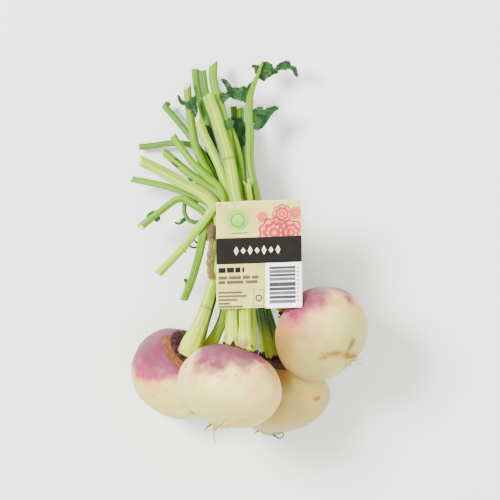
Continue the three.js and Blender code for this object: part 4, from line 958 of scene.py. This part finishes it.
def add_blade(shape, outline, host, lift, curl, ripple, mark, random, jag=0.35, thick=0.42, step=0.75):
    """A leaf blade over an outline in plan, with toothed edges, veins and a rolling surface."""
    outline = np.asarray(outline, float)
    x, y = outline.T
    if np.sum(x * np.roll(y, -1) - np.roll(x, -1) * y) < 0:
        outline = outline[::-1]
    edge = []
    for a, b in zip(outline, np.roll(outline, -1, axis=0)):
        pieces = max(2, int(np.linalg.norm(b - a) / 0.6))
        out = np.array([b[1] - a[1], a[0] - b[0]]) / max(np.linalg.norm(b - a), 1e-6)
        for k in range(pieces):
            t = k / pieces
            tooth = jag * (k % 3 == 1) * random.uniform(0.5, 1.5)
            edge.append(a + (b - a) * t + out * (tooth + 0.35 * jag * math.sin(math.pi * t)))
    edge = np.array(edge)
    low, high = edge.min(0), edge.max(0)
    gx, gy = np.meshgrid(np.arange(low[0], high[0], step), np.arange(low[1], high[1], step))
    inside = np.column_stack([gx.ravel(), gy.ravel()]) + random.uniform(-0.12, 0.12, (gx.size, 2))
    inside = inside[in_outline(inside, edge) & (distance_to(inside, edge, True) > 0.4)]
    cloud = np.vstack([edge, inside])
    count = len(edge)
    loop = [(i, (i + 1) % count) for i in range(count)]
    verts, _, faces, *_ = delaunay_2d_cdt([Vector(p) for p in cloud], loop, [list(range(count))], 1, 1e-6)
    flat = np.array([[v.x, v.y] for v in verts])
    ground, far, _ = host_height(host, flat)
    _, _, feet = host_height(host, edge)
    base = edge[np.linalg.norm(edge - feet, axis=1).argmin()]
    vein = veins(flat, edge, base)
    rim = distance_to(flat, edge, True)
    wave = 0.45 * flat[:, 0] + 0.25 * flat[:, 1] + 1.6 * np.sin(0.4 * flat[:, 1] - 0.22 * flat[:, 0])
    wave = ripple * np.sin(wave) * np.minimum(1, far / 6)
    height = ground + lift + curl * far + wave
    cup = Waves(int(abs(base[0] * 10)) % 97, 5)(np.column_stack([flat, 0 * flat[:, 0]]))
    height = height + 0.25 * cup * smooth(rim, 3.5, 0) + 0.25 * vein
    both = np.vstack([np.column_stack([flat, height + off]) for off in (thick / 2, -thick / 2)])
    n = len(flat)
    tris = []
    for f in faces:
        a, b, c = (flat[i] for i in f[:3])
        if (b[0] - a[0]) * (c[1] - a[1]) - (b[1] - a[1]) * (c[0] - a[0]) < 0:
            f = list(reversed(f))
        tris.append(tuple(f))
        tris.append(tuple(n + i for i in reversed(f)))
    # A side that no neighbour runs the other way is on the rim, and gets a wall.
    borders = dict.fromkeys(side for f in tris[::2] for side in zip(f, f[1:] + f[:1]))
    tris += [(j, i, n + i, n + j) for i, j in borders if (j, i) not in borders]
    shape.add(both, tris, mark, vein=np.tile(vein, 2), edge=np.tile(smooth(rim, 0.8, 0.1), 2))


def in_outline(points, edge):
    x, y = points[:, 0], points[:, 1]
    hit = np.zeros(len(points), bool)
    for (x1, y1), (x2, y2) in zip(edge, np.roll(edge, -1, axis=0)):
        if y1 != y2:
            hit ^= ((y1 > y) != (y2 > y)) & (x < (x2 - x1) * (y - y1) / (y2 - y1) + x1)
    return hit


def distance_to(points, line, closed=False):
    ends = np.roll(line, -1, axis=0) if closed else line[1:]
    best = np.full(len(points), 1e9)
    for a, b in zip(line, ends):
        d = b - a
        t = np.clip(((points - a) @ d) / max(d @ d, 1e-9), 0, 1)
        best = np.minimum(best, np.linalg.norm(points - (a + t[:, None] * d), axis=1))
    return best


def veins(flat, edge, base):
    """How near each point is to a vein: a midrib from the base, and branches to the lobes."""
    far = np.linalg.norm(edge - base, axis=1)
    tip = edge[far.argmax()]
    middle = (base + tip) / 2 * 0.4 + edge.mean(0) * 0.6
    rib = np.array([base, (base + middle) / 2, middle, (middle + tip) / 2, tip])
    near = distance_to(flat, rib)
    value = np.exp(-(near / 0.42) ** 2)
    length = max(far.max(), 1.0)
    for end in edge[2::max(3, len(edge) // 16)]:
        start = rib[np.abs(np.linalg.norm(rib - end, axis=1) - 0.3 * length).argmin()]
        bend = (start + end) / 2 + (tip - base) / length * 0.6
        branch = np.array([start, bend, start + (end - start) * 0.92])
        value = np.maximum(value, 0.7 * np.exp(-(distance_to(flat, branch) / 0.24) ** 2))
    return value


def make_leaf(leaf, index, material):
    shape = Shape()
    random = np.random.RandomState(300 + index)
    for outline in leaf["outlines"]:
        add_blade(shape, outline, leaf["host"], leaf["lift"], leaf["curl"], leaf["ripple"], 0, random,
                  jag=0.6, step=0.6)
    return shape.build(leaf["name"] + "_blade", [material], [leaf["name"]])


# Young leaves crumpled in among the stalks, coloured darker than the other leaves as painted shade in the
# gaps between the stalks: host, lift, ripple, outline.
INNER_LEAVES = [
    ("stalk_back_3", 4.2, 0.9, ((-33, 92), (-28.5, 90), (-26, 80), (-22, 66), (-18, 52), (-21, 47),
     (-27, 55), (-31, 70), (-34, 82))),
    ("stalk_back_5", 4.6, 0.7, ((-25, 54), (-21, 56), (-17, 47), (-13.5, 39), (-15, 34.5), (-19, 35),
     (-22, 42), (-25.5, 48))),
    ("stalk_back_3", 5.2, 0.8, ((-36, 66), (-31, 64), (-27, 54), (-23, 44), (-25, 38), (-31, 41),
     (-35, 50), (-38, 60))),
    ("stalk_back_2", 3.6, 0.6, ((-9.5, 96), (-5, 98), (-3.5, 88), (-4, 78), (-7, 72), (-9.5, 80))),
]


def make_inner_leaves(material):
    shape = Shape()
    random = np.random.RandomState(340)
    for host, lift, ripple, outline in INNER_LEAVES:
        add_blade(shape, outline, host, lift, 0.05, ripple, 0, random, jag=0.8, step=0.7)
    return shape.build("inner_leaves_shade", [material], [])


# the tag

TAG_SIZE = (63.8, 79.2)
TAG = {"centre": (8.0, -5.9), "level": 89.2, "over": (-7.6, 4.5), "rise": (0.205, -0.145), "slew": 0.035,
       "thick": 0.6, "tongue_width": 14.0, "tongue_at": -9.5, "tongue_length": 30.0, "tongue_splay": 0.31}


def tag_frame():
    rx, ry = TAG["rise"]
    right = unit((1, 0, rx))
    normal = unit((-rx, -ry, 1))
    x, y = TAG["centre"]
    z = TAG["level"] + rx * (x - TAG["over"][0]) + ry * (y - TAG["over"][1])
    right = right * math.cos(TAG["slew"]) + np.cross(normal, right) * math.sin(TAG["slew"])
    return np.array([x, y, z]), right, np.cross(normal, right), normal


def on_tag(u, v, above=0.0):
    """A point on the tag's front: u to the right, v up, and how far above the card."""
    origin, right, upward, normal = tag_frame()
    u, v = np.asarray(u, float), np.asarray(v, float)
    curl = 0.5 * (u / 32) ** 2 + 0.35 * np.sin(v / 24) * (u / 32) - 0.25
    curl = curl + 0.5 * np.clip((-v - 20) / 20, 0, 1) ** 2
    lift = TAG["thick"] / 2 + curl + above
    return origin + u[..., None] * right + v[..., None] * upward + lift[..., None] * normal


def add_slab(shape, front, back, edge):
    """Two sheets of points, each rows by columns, closed by walls round their border."""
    rows, columns = front.shape[:2]
    faces = grid_faces(rows, columns, wrap=False)
    n = rows * columns
    border = ([(0, c) for c in range(columns)] + [(r, columns - 1) for r in range(1, rows)]
              + [(rows - 1, c) for c in range(columns - 2, -1, -1)]
              + [(r, 0) for r in range(rows - 2, 0, -1)])
    loop = [r * columns + c for r, c in border]
    walls = [(i, n + i, n + j, j) for i, j in zip(loop, loop[1:] + loop[:1])]
    shape.add(np.vstack([front.reshape(-1, 3), back.reshape(-1, 3)]),
              faces.tolist() + (faces[:, ::-1] + n).tolist() + walls, 0, edge=edge)


def make_tag(material):
    shape = Shape()
    width, height = TAG_SIZE
    u, v = np.meshgrid(np.linspace(-width / 2, width / 2, 49), np.linspace(-height / 2, height / 2, 61))
    rim = np.minimum(width / 2 - np.abs(u), height / 2 - np.abs(v)).ravel()
    add_slab(shape, on_tag(u, v), on_tag(u, v, -0.5), np.tile(smooth(rim, 0.7, 0.0), 2))
    add_tongue(shape)
    return shape.build("tag_card", [material], ["tag"], smooth_shade=False)


def add_tongue(shape):
    """The tongue folds over the top edge and runs down behind, under the tie."""
    half = TAG_SIZE[1] / 2
    across_at = TAG["tongue_at"] + np.linspace(-0.5, 0.5, 9) * TAG["tongue_width"]
    route = [(half - 1.0, -0.55), (half - 0.2, -0.3), (half + 0.25, -0.45), (half + 0.3, -0.8)]
    for down in np.linspace(0, TAG["tongue_length"], 26):
        route.append((half - down, -1.0 - down * TAG["tongue_splay"] - 0.3 * math.sin(down / 5)))
    route = np.array(route)
    steps = unit(np.gradient(route, axis=0))
    normal = np.column_stack([steps[:, 1], -steps[:, 0]])
    layers = []
    for offset in (0.22, -0.22):
        line = route + normal * offset
        u, v = np.meshgrid(across_at, line[:, 0])
        w = np.repeat(line[:, 1], len(across_at)).reshape(u.shape)
        origin, right, upward, up = tag_frame()
        layers.append(origin + u[..., None] * right + v[..., None] * upward + w[..., None] * up)
    add_slab(shape, *layers, 0.0)


# The print: plain bars, diamonds and ring patterns, in layers that stand a little apart.
INK_STEP = 0.03


def ink_rect(shape, mark, u0, u1, v0, v1, layer=1):
    spread = lambda low, high: np.linspace(low, high, max(2, int(abs(high - low) / 2) + 1))
    u, v = np.meshgrid(spread(u0, u1), spread(v0, v1))
    shape.add(on_tag(u, v, INK_STEP * layer), grid_faces(*u.shape, wrap=False), mark)


def ink_shape(shape, mark, points, layer=1):
    points = np.asarray(points, float)
    centre = points.mean(0)
    ring = np.vstack([centre[None], points])
    faces = [(0, 1 + i, 1 + (i + 1) % len(points)) for i in range(len(points))]
    shape.add(on_tag(ring[:, 0], ring[:, 1], INK_STEP * layer), faces, mark)


def ink_ring(shape, mark, at, outer, inner, layer=1, petals=0, depth=0.0, start=0.0, keep=None):
    a = np.linspace(0, 2 * math.pi, 97)
    form = 1 + depth * np.cos(petals * (a - start))
    rows = []
    for r in (inner, outer):
        u, v = at[0] + r * form * np.cos(a), at[1] + r * form * np.sin(a)
        if keep is not None:
            u, v = np.clip(u, keep[0], keep[1]), np.clip(v, keep[2], keep[3])
        rows.append(on_tag(u, v, INK_STEP * layer))
    shape.add(np.vstack(rows), grid_faces(2, len(a), wrap=False)[:, ::-1], mark)


def make_print(inks):
    shape = Shape()
    dark, white, green, rose, pale_rose, grey, mid_grey, panel, soft, leafy = range(10)
    ink_rect(shape, dark, -31.9, 31.9, -6.8, 12.6, 1)
    # Seven plain diamonds stand where the title was.
    level = 2.9
    for k in range(7):
        at = -17 + k * 5.2
        tall = 3.3 if k % 2 == 0 else 2.3
        for ink, wide, rise, layer in ((white, 1.7, tall, 2), (dark, 0.7, tall * 0.4, 3)):
            ink_shape(shape, ink, [(at - wide, level), (at, level - rise), (at + wide, level),
                                   (at, level + rise)], layer)
    # A plain green roundel.
    ink_ring(shape, green, (-15.8, 25.6), 8.2, 0.01, 1)
    ink_ring(shape, leafy, (-15.8, 25.6), 5.2, 4.5, 2)
    ink_rect(shape, leafy, -20.5, -8.5, 15.6, 16.5, 1)
    # Ring patterns in rose, cut off by the band.
    keep = (-31.5, 31.6, 12.6, 40)
    for at, size, petals in (((11.5, 15.5), 11.5, 9), ((24.0, 15.0), 9.5, 7), ((17.5, 29.0), 7.2, 8),
            ((27.8, 29.5), 4.6, 6), ((3.0, 27.5), 4.0, 6)):
        ink_ring(shape, pale_rose, at, size, 0.01, 1, petals, 0.06, keep=keep)
        ink_ring(shape, rose, at, size, size * 0.88, 2, petals, 0.06, keep=keep)
        ink_ring(shape, rose, at, size * 0.7, size * 0.48, 2, petals, 0.1, 0.3, keep=keep)
        ink_ring(shape, rose, at, size * 0.34, size * 0.16, 2, petals, 0.12, keep=keep)
    # Rows of plain bars stand where lines of small print were.
    left = -30.3
    for u0, u1 in ((left, -24.8), (-24.1, -18.6), (-17.9, -13.8), (-12.6, -11.0)):
        ink_rect(shape, dark, u0, u1, -13.2, -9.4)
    for v, lengths in ((-16.9, (6.5, 9.0, 5.5, 5.0)), (-20.3, (5.0, 12.5, 9.0))):
        u = left
        for length in lengths:
            ink_rect(shape, soft, u, u + length, v - 1.2, v + 1.2)
            u += length + 1.3
    for v, length in ((-27.9, 17.5), (-30.6, 21.2), (-33.3, 14.0), (-36.0, 8.6), (-38.4, 18.2)):
        ink_rect(shape, soft, left, left + length, v - 0.75, v + 0.75)
    # A thin frame with a ring in it.
    for u0, u1, v0, v1 in ((-4.2, 3.6, -26.6, -26.2), (-4.2, 3.6, -38.9, -38.5),
            (-4.2, -3.8, -38.9, -26.2), (3.2, 3.6, -38.9, -26.2)):
        ink_rect(shape, grey, u0, u1, v0, v1)
    ink_ring(shape, grey, (-0.3, -32.4), 2.6, 1.5)
    # The pale panel with plain level bars.
    ink_rect(shape, panel, 4.8, 31.8, -40.3, -6.9, 1)
    for v0, v1, mark in ((-11.6, -9.6, grey), (-14.6, -12.1, mid_grey), (-17.0, -15.1, grey),
                         (-20.2, -17.7, mid_grey), (-24.4, -21.3, grey), (-27.4, -25.0, grey),
                         (-30.4, -28.0, mid_grey), (-33.4, -31.2, grey), (-36.8, -34.2, mid_grey)):
        ink_rect(shape, mark, 7.6, 27.2, v0, v1, 2)
    for k in range(9):
        ink_rect(shape, mid_grey, 28.4, 29.5, -35.6 + 3.0 * k, -34.2 + 3.0 * k, 2)
    return shape.build("tag_print", inks, [], smooth_shade=False)


# the tie

BAND_SIDES = 28
END_STRANDS, FRAYED, LOOSE = 3, 16, 14
TIE_Y = 8.0
TIE_REACH = 7.0
KNOT_CENTRE = np.array([-27.0, 10.5, 77.2])
# Each turn: its offset along Y, how far it wanders, and its lift. Each band of the knot: its tilt, size
# and offset along Y.
TURNS = ((-2.7, 0.35, 0.0), (0.0, 0.5, 0.25), (2.7, 0.35, 0.05), (-1.3, 1.2, 0.75))
KNOT_BANDS = ((-0.5, 2.1, -3.2), (0.35, 2.5, -1.2), (0.9, 2.3, 0.9), (-0.9, 2.2, 2.9), (0.05, 2.7, 0.2))
TIE_END_PATH = [
    (-26.8, 12, 77), (-27, 4, 77.5), (-27.2, -1.5, 77.4), (-28, -10, 76.6), (-28, -17, 77),
    (-27.5, -23.5, 78.8),
]


def tie_outline(clear):
    """The tight outline, in X and Z, round the stalks and the tag's tongue."""
    held = []
    for points, radius in LAID.values():
        beyond = int(np.argmax(points[:, 1] > TIE_Y + TIE_REACH))
        held.append(np.column_stack([points, radius])[:beyond])
    origin, right, upward, normal = tag_frame()
    tongue = []
    for down in range(int(TAG["tongue_length"]) + 1):
        for half in (-0.5, 0.5):
            p = (origin + right * (TAG["tongue_at"] + half * TAG["tongue_width"])
                 + upward * (TAG_SIZE[1] / 2 - down)
                 + normal * (-TAG["thick"] / 2 - down * TAG["tongue_splay"]))
            tongue.append([*p, 0.0])
    held = np.vstack(held + [np.array(tongue)])
    held = held[np.abs(held[:, 1] - TIE_Y) < TIE_REACH]
    angle = np.linspace(0, 2 * math.pi, 28, endpoint=False)
    cos, sin = np.cos(angle), np.sin(angle)
    reach = (held[:, 0][:, None] * cos + held[:, 2][:, None] * sin + held[:, 3][:, None]).max(0) + clear
    c2, s2, r2 = np.roll(cos, -1), np.roll(sin, -1), np.roll(reach, -1)
    cross = cos * s2 - c2 * sin
    x = (reach * s2 - r2 * sin) / cross
    z = (r2 * cos - reach * c2) / cross
    return np.column_stack([x, z])


def add_band(shape, loop, width, thick, seed, closed=True, mark=0, lean=None):
    """A flat band of fibres along a route: many sides across, each fibre a small ridge."""
    random = np.random.RandomState(seed)
    loop = np.asarray(loop, float)
    sides = BAND_SIDES
    if closed:
        way = unit(np.roll(loop, -1, axis=0) - np.roll(loop, 1, axis=0))
    else:
        way = runs_of(loop)
    flat = np.tile([0.0, 1.0, 0.0], (len(loop), 1)) if lean is None else lean
    flat = unit(flat - (flat * way).sum(1, keepdims=True) * way)
    out = np.cross(flat, way)
    angle = np.linspace(0, 2 * math.pi, sides, endpoint=False)
    fibre = 1 + 0.1 * np.cos(7 * angle + random.uniform(0, 6))
    fibre = fibre + 0.05 * np.cos(12 * angle + random.uniform(0, 6))
    along = lengths_along(loop)
    swell = 1 + 0.1 * np.sin(along / 5.1 + seed) + 0.07 * np.sin(along / 2.3 + 2 * seed)
    wide = flat[:, None] * (width / 2 * np.cos(angle) * fibre)[None, :, None] * swell[:, None, None]
    ring = loop[:, None] + wide + out[:, None] * (thick / 2 * np.sin(angle) * fibre)[None, :, None]
    rows = len(loop)
    faces = grid_faces(rows, sides).tolist()
    if closed:
        last = (rows - 1) * sides
        faces += [(last + i, last + (i + 1) % sides, (i + 1) % sides, i) for i in range(sides)]
    else:
        faces += [tuple(range(sides - 1, -1, -1)), tuple((rows - 1) * sides + i for i in range(sides))]
    shape.add(ring.reshape(-1, 3), faces, mark, fibre=np.tile(np.cos(angle) + 0.2 * np.sin(angle), rows),
              along=np.repeat(along, sides), hank=float(seed))


def make_tie(light, dark):
    shape = Shape()
    random = np.random.RandomState(400)
    corners = tie_outline(GAP + 0.75)
    loop = np.vstack([corners, corners[:1]])
    length = lengths_along(loop)
    share = np.linspace(0, length[-1], 161)[:-1]
    x, z = np.interp(share, length, loop[:, 0]), np.interp(share, length, loop[:, 1])
    k = np.exp(-0.5 * (np.arange(-4, 5) / 1.6) ** 2)
    k /= k.sum()
    wrap = lambda v: np.convolve(np.concatenate([v[-4:], v, v[:4]]), k, "valid")
    x, z = wrap(x), wrap(z)
    turn = share / length[-1] * 2 * math.pi
    out = unit(np.column_stack([x, z]) - np.array([x.mean(), z.mean()]))
    for n, (offset, wander, lift) in enumerate(TURNS):
        y = TIE_Y + offset + wander * np.sin(turn + 2.1 * n)
        loop3 = np.column_stack([x + out[:, 0] * lift, y, z + out[:, 1] * lift])
        add_band(shape, loop3, 2.9 if n < 3 else 1.7, 1.15, 10 + n)
    # The knot: bands wound across each other, tight and dark.
    t = np.linspace(0, 2 * math.pi, 49)[:-1]
    for n, (tilt, size, offset) in enumerate(KNOT_BANDS):
        centre = KNOT_CENTRE + np.array([0, offset, 0])
        flat = unit([math.sin(tilt), math.cos(tilt), 0])
        side = np.array([math.cos(tilt), -math.sin(tilt), 0])
        ring = centre + side * (size * np.cos(t))[:, None] + UP * (size * 1.12 * np.sin(t))[:, None]
        add_band(shape, ring, 3.0, 1.3, 30 + n, mark=1, lean=np.tile(flat, (len(t), 1)))
    core = Curve([KNOT_CENTRE + (0, -4.6, -0.2), KNOT_CENTRE, KNOT_CENTRE + (0, 4.6, 0.2)])
    tube(shape, core.at(np.linspace(0, 1, 12)), 1.9, sides=14, mark=1, wobble=0.1, fibre=0.3,
         along=0.0, hank=3.0)
    # The two ends, twisted on each other and frayed.
    path = Curve(TIE_END_PATH)
    t = np.linspace(0, 1, 90)
    line = path.at(t)
    side, up = across(runs_of(line))
    for n in range(END_STRANDS):
        phase = 0.34 * path.length * t + n * 2 * math.pi / END_STRANDS
        swell = 1.0 + 0.35 * np.exp(-((t - 0.6) / 0.16) ** 2) - 0.35 * np.exp(-((t - 0.33) / 0.07) ** 2)
        route = (line + side * (1.35 * swell * np.cos(phase))[:, None]
                 + up * (0.85 * swell * np.sin(phase))[:, None])
        lean = side * np.cos(phase * 0.5)[:, None] + up * np.sin(phase * 0.5)[:, None]
        add_band(shape, route, 2.5, 1.2, 50 + n, closed=False, lean=lean)
    end = path.at(np.array([0.97]))[0]
    way = unit(end - path.at(np.array([0.9]))[0])
    for n in range(FRAYED):
        t = np.linspace(0, 1, 8)[:, None]
        direction = unit(way + 0.35 * random.normal(size=3))
        start = end + random.uniform(-0.9, 0.9, 3)
        tube(shape, start - direction * 1.5 + direction * random.uniform(2.5, 4.2) * t,
             0.16 - 0.08 * t[:, 0], sides=5, fibre=random.uniform(-1, 1), along=0.0, hank=float(n))
    # Loose fibres along the knot and the turns.
    for n in range(LOOSE):
        start = KNOT_CENTRE + random.uniform(-1, 1, 3) * (2.2, 4.5, 2.0)
        direction = unit(random.normal(size=3) * (1, 1.2, 0.5) + (0, 0, 0.4))
        t = np.linspace(0, 1, 8)[:, None]
        tube(shape, start + direction * random.uniform(1.5, 3.2) * t + np.array([0, 0, -0.8]) * t ** 2,
             0.11 - 0.05 * t[:, 0], sides=5, fibre=random.uniform(-1, 1), along=0.0, hank=float(n))
    return shape.build("raffia_tie", [light, dark], ["tie"])


# put it together

CORK = ("#7A5230", "#AE7F4C", "#C9A878")
CREAM_SKIN = dict(cream="#E8E2CB", shade="#DDD6B4", foot="#D4D2A4", pink="#CA6E9A", deep="#9A337A",
                  cork_tints=CORK)
SKINS = {
    "root_left": root_look("skin_left", warm="#DED8A8", amount=0.95, **CREAM_SKIN),
    "root_front": root_look("skin_front", warm="#E0D3A0", amount=0.95, **CREAM_SKIN),
    "root_right": root_look("skin_right", warm="#BFA870", amount=0.95, **CREAM_SKIN),
    "root_back": root_look("skin_back", "#D8D0A8", "#CFC492", "#D4CEA8", "#B48E52", "#C79A8A", "#A87A66",
                           ("#4E2E18", "#7C5028", "#A5753C"), 0.0),
}
HAIR = raffia_look("root_hair", "#B8AC90", "#93876C", "#6E6248")
for i, root in enumerate(ROOTS):
    make_root(root, i, SKINS[root["name"]], HAIR)

# The fourth colour of each stalk look is painted shade in the grooves.
STEMS = {
    "stalk_pale": stalk_look("stem_pale", "#D8DC8C", "#D2DA88", "#CCD87C", "#94A850", "#E0E4A8"),
    "stalk": stalk_look("stem_green", "#CAD678", "#ACC850", "#AEC84C", "#5C7F30", "#D2DC80"),
    # The deep stalks lie under the others: their darker greens are partly their own olive and partly
    # painted shade.
    "stalk_deep": stalk_look("stem_deep_shade", "#7E9A48", "#5C8E38", "#9ABE48", "#284F26", "#A6C45C"),
}
CUT, LEAF = cut_look(), leaf_look("leaf", ("#1E4C26", "#336830", "#5C8A3A"))
for i, stalk in enumerate(STALKS):
    make_stalk(stalk, i, STEMS[stalk["colour"]], CUT, LEAF)
for i, leaf in enumerate(LEAVES):
    make_leaf(leaf, i, LEAF)
# Painted shade: the inner leaves get a darker green than the other leaves.
make_inner_leaves(leaf_look("leaf_inner_shade", ("#153A20", "#1F4C28", "#335F30")))

INKS = [
    ink_look("ink_dark", "#322D2A", "#383330", 0.8, 0.05), ink_look("ink_white", "#F4F2EC", "#EAE6DC"),
    ink_look("ink_green", "#C2D884", "#B8D076"), ink_look("ink_rose", "#BE6664", "#C67470"),
    ink_look("ink_pale_rose", "#E2B0A0", "#E4B8A4"), ink_look("ink_grey", "#66636A", "#726F74", 0.7, 0.1),
    ink_look("ink_mid_grey", "#949297", "#A3A1A5", 0.7, 0.1), ink_look("ink_panel", "#F1EFF3", "#E9E6EB"),
    ink_look("ink_soft", "#8A8066", "#968C70", 0.7, 0.1), ink_look("ink_leafy", "#86A548", "#7C9A40"),
]
make_tag(card_look())
make_print(INKS)
make_tie(raffia_look("raffia", "#D0C08E", "#B0A070", "#7E6C44"),
         raffia_look("raffia_dark", "#B3A272", "#86724A", "#564430"))

# floor, light and camera

FLOOR_Z = -0.0002
floor = bpy.data.meshes.new("floor")
floor.from_pydata([(x, y, FLOOR_Z) for x, y in ((-3, -3), (3, -3), (3, 3), (-3, 3))], [], [(0, 1, 2, 3)])
paper = Look("floor_paper", roughness=0.9, specular=0.1)
paper.colour(paper.mix(paper.span(paper.noise(3, 2), 0.3, 0.7), "#FAFAF8", "#F7F7F5"))
floor.materials.append(paper.material)
floor_obj = link_object("floor", floor)


def softbox(name, at, target, size, power, colour=(1, 1, 1)):
    light = bpy.data.lights.new(name, "AREA")
    light.shape = "SQUARE"
    light.size = size
    light.energy = power
    light.color = colour
    obj = link_object(name, light)
    obj.location = at
    obj.rotation_euler = (Vector(target) - Vector(at)).to_track_quat("-Z", "Y").to_euler()


softbox("key", (-0.9, 0.45, 1.5), (0, -0.02, 0.05), 0.5, 80, (0.96, 1.0, 0.95))
softbox("fill", (1.1, -0.7, 1.2), (0, 0, 0.05), 1.3, 16, (0.95, 1.0, 0.97))
softbox("top", (0.1, -0.3, 1.8), (0, 0, 0.05), 1.2, 26)

world = bpy.data.worlds.new("studio")
world.use_nodes = True
world.node_tree.nodes["Background"].inputs[0].default_value = (1, 1, 1, 1)
world.node_tree.nodes["Background"].inputs[1].default_value = 0.85
bpy.context.scene.world = world

camera = bpy.data.cameras.new("camera")
camera.sensor_width = 36
camera.lens = 187.2
camera.clip_end = 20
camera_obj = link_object("camera", camera)
camera_obj.location = (0.0018, -0.001, 2.0)
camera_obj.rotation_euler = (0, 0, 0)
bpy.context.scene.camera = camera_obj
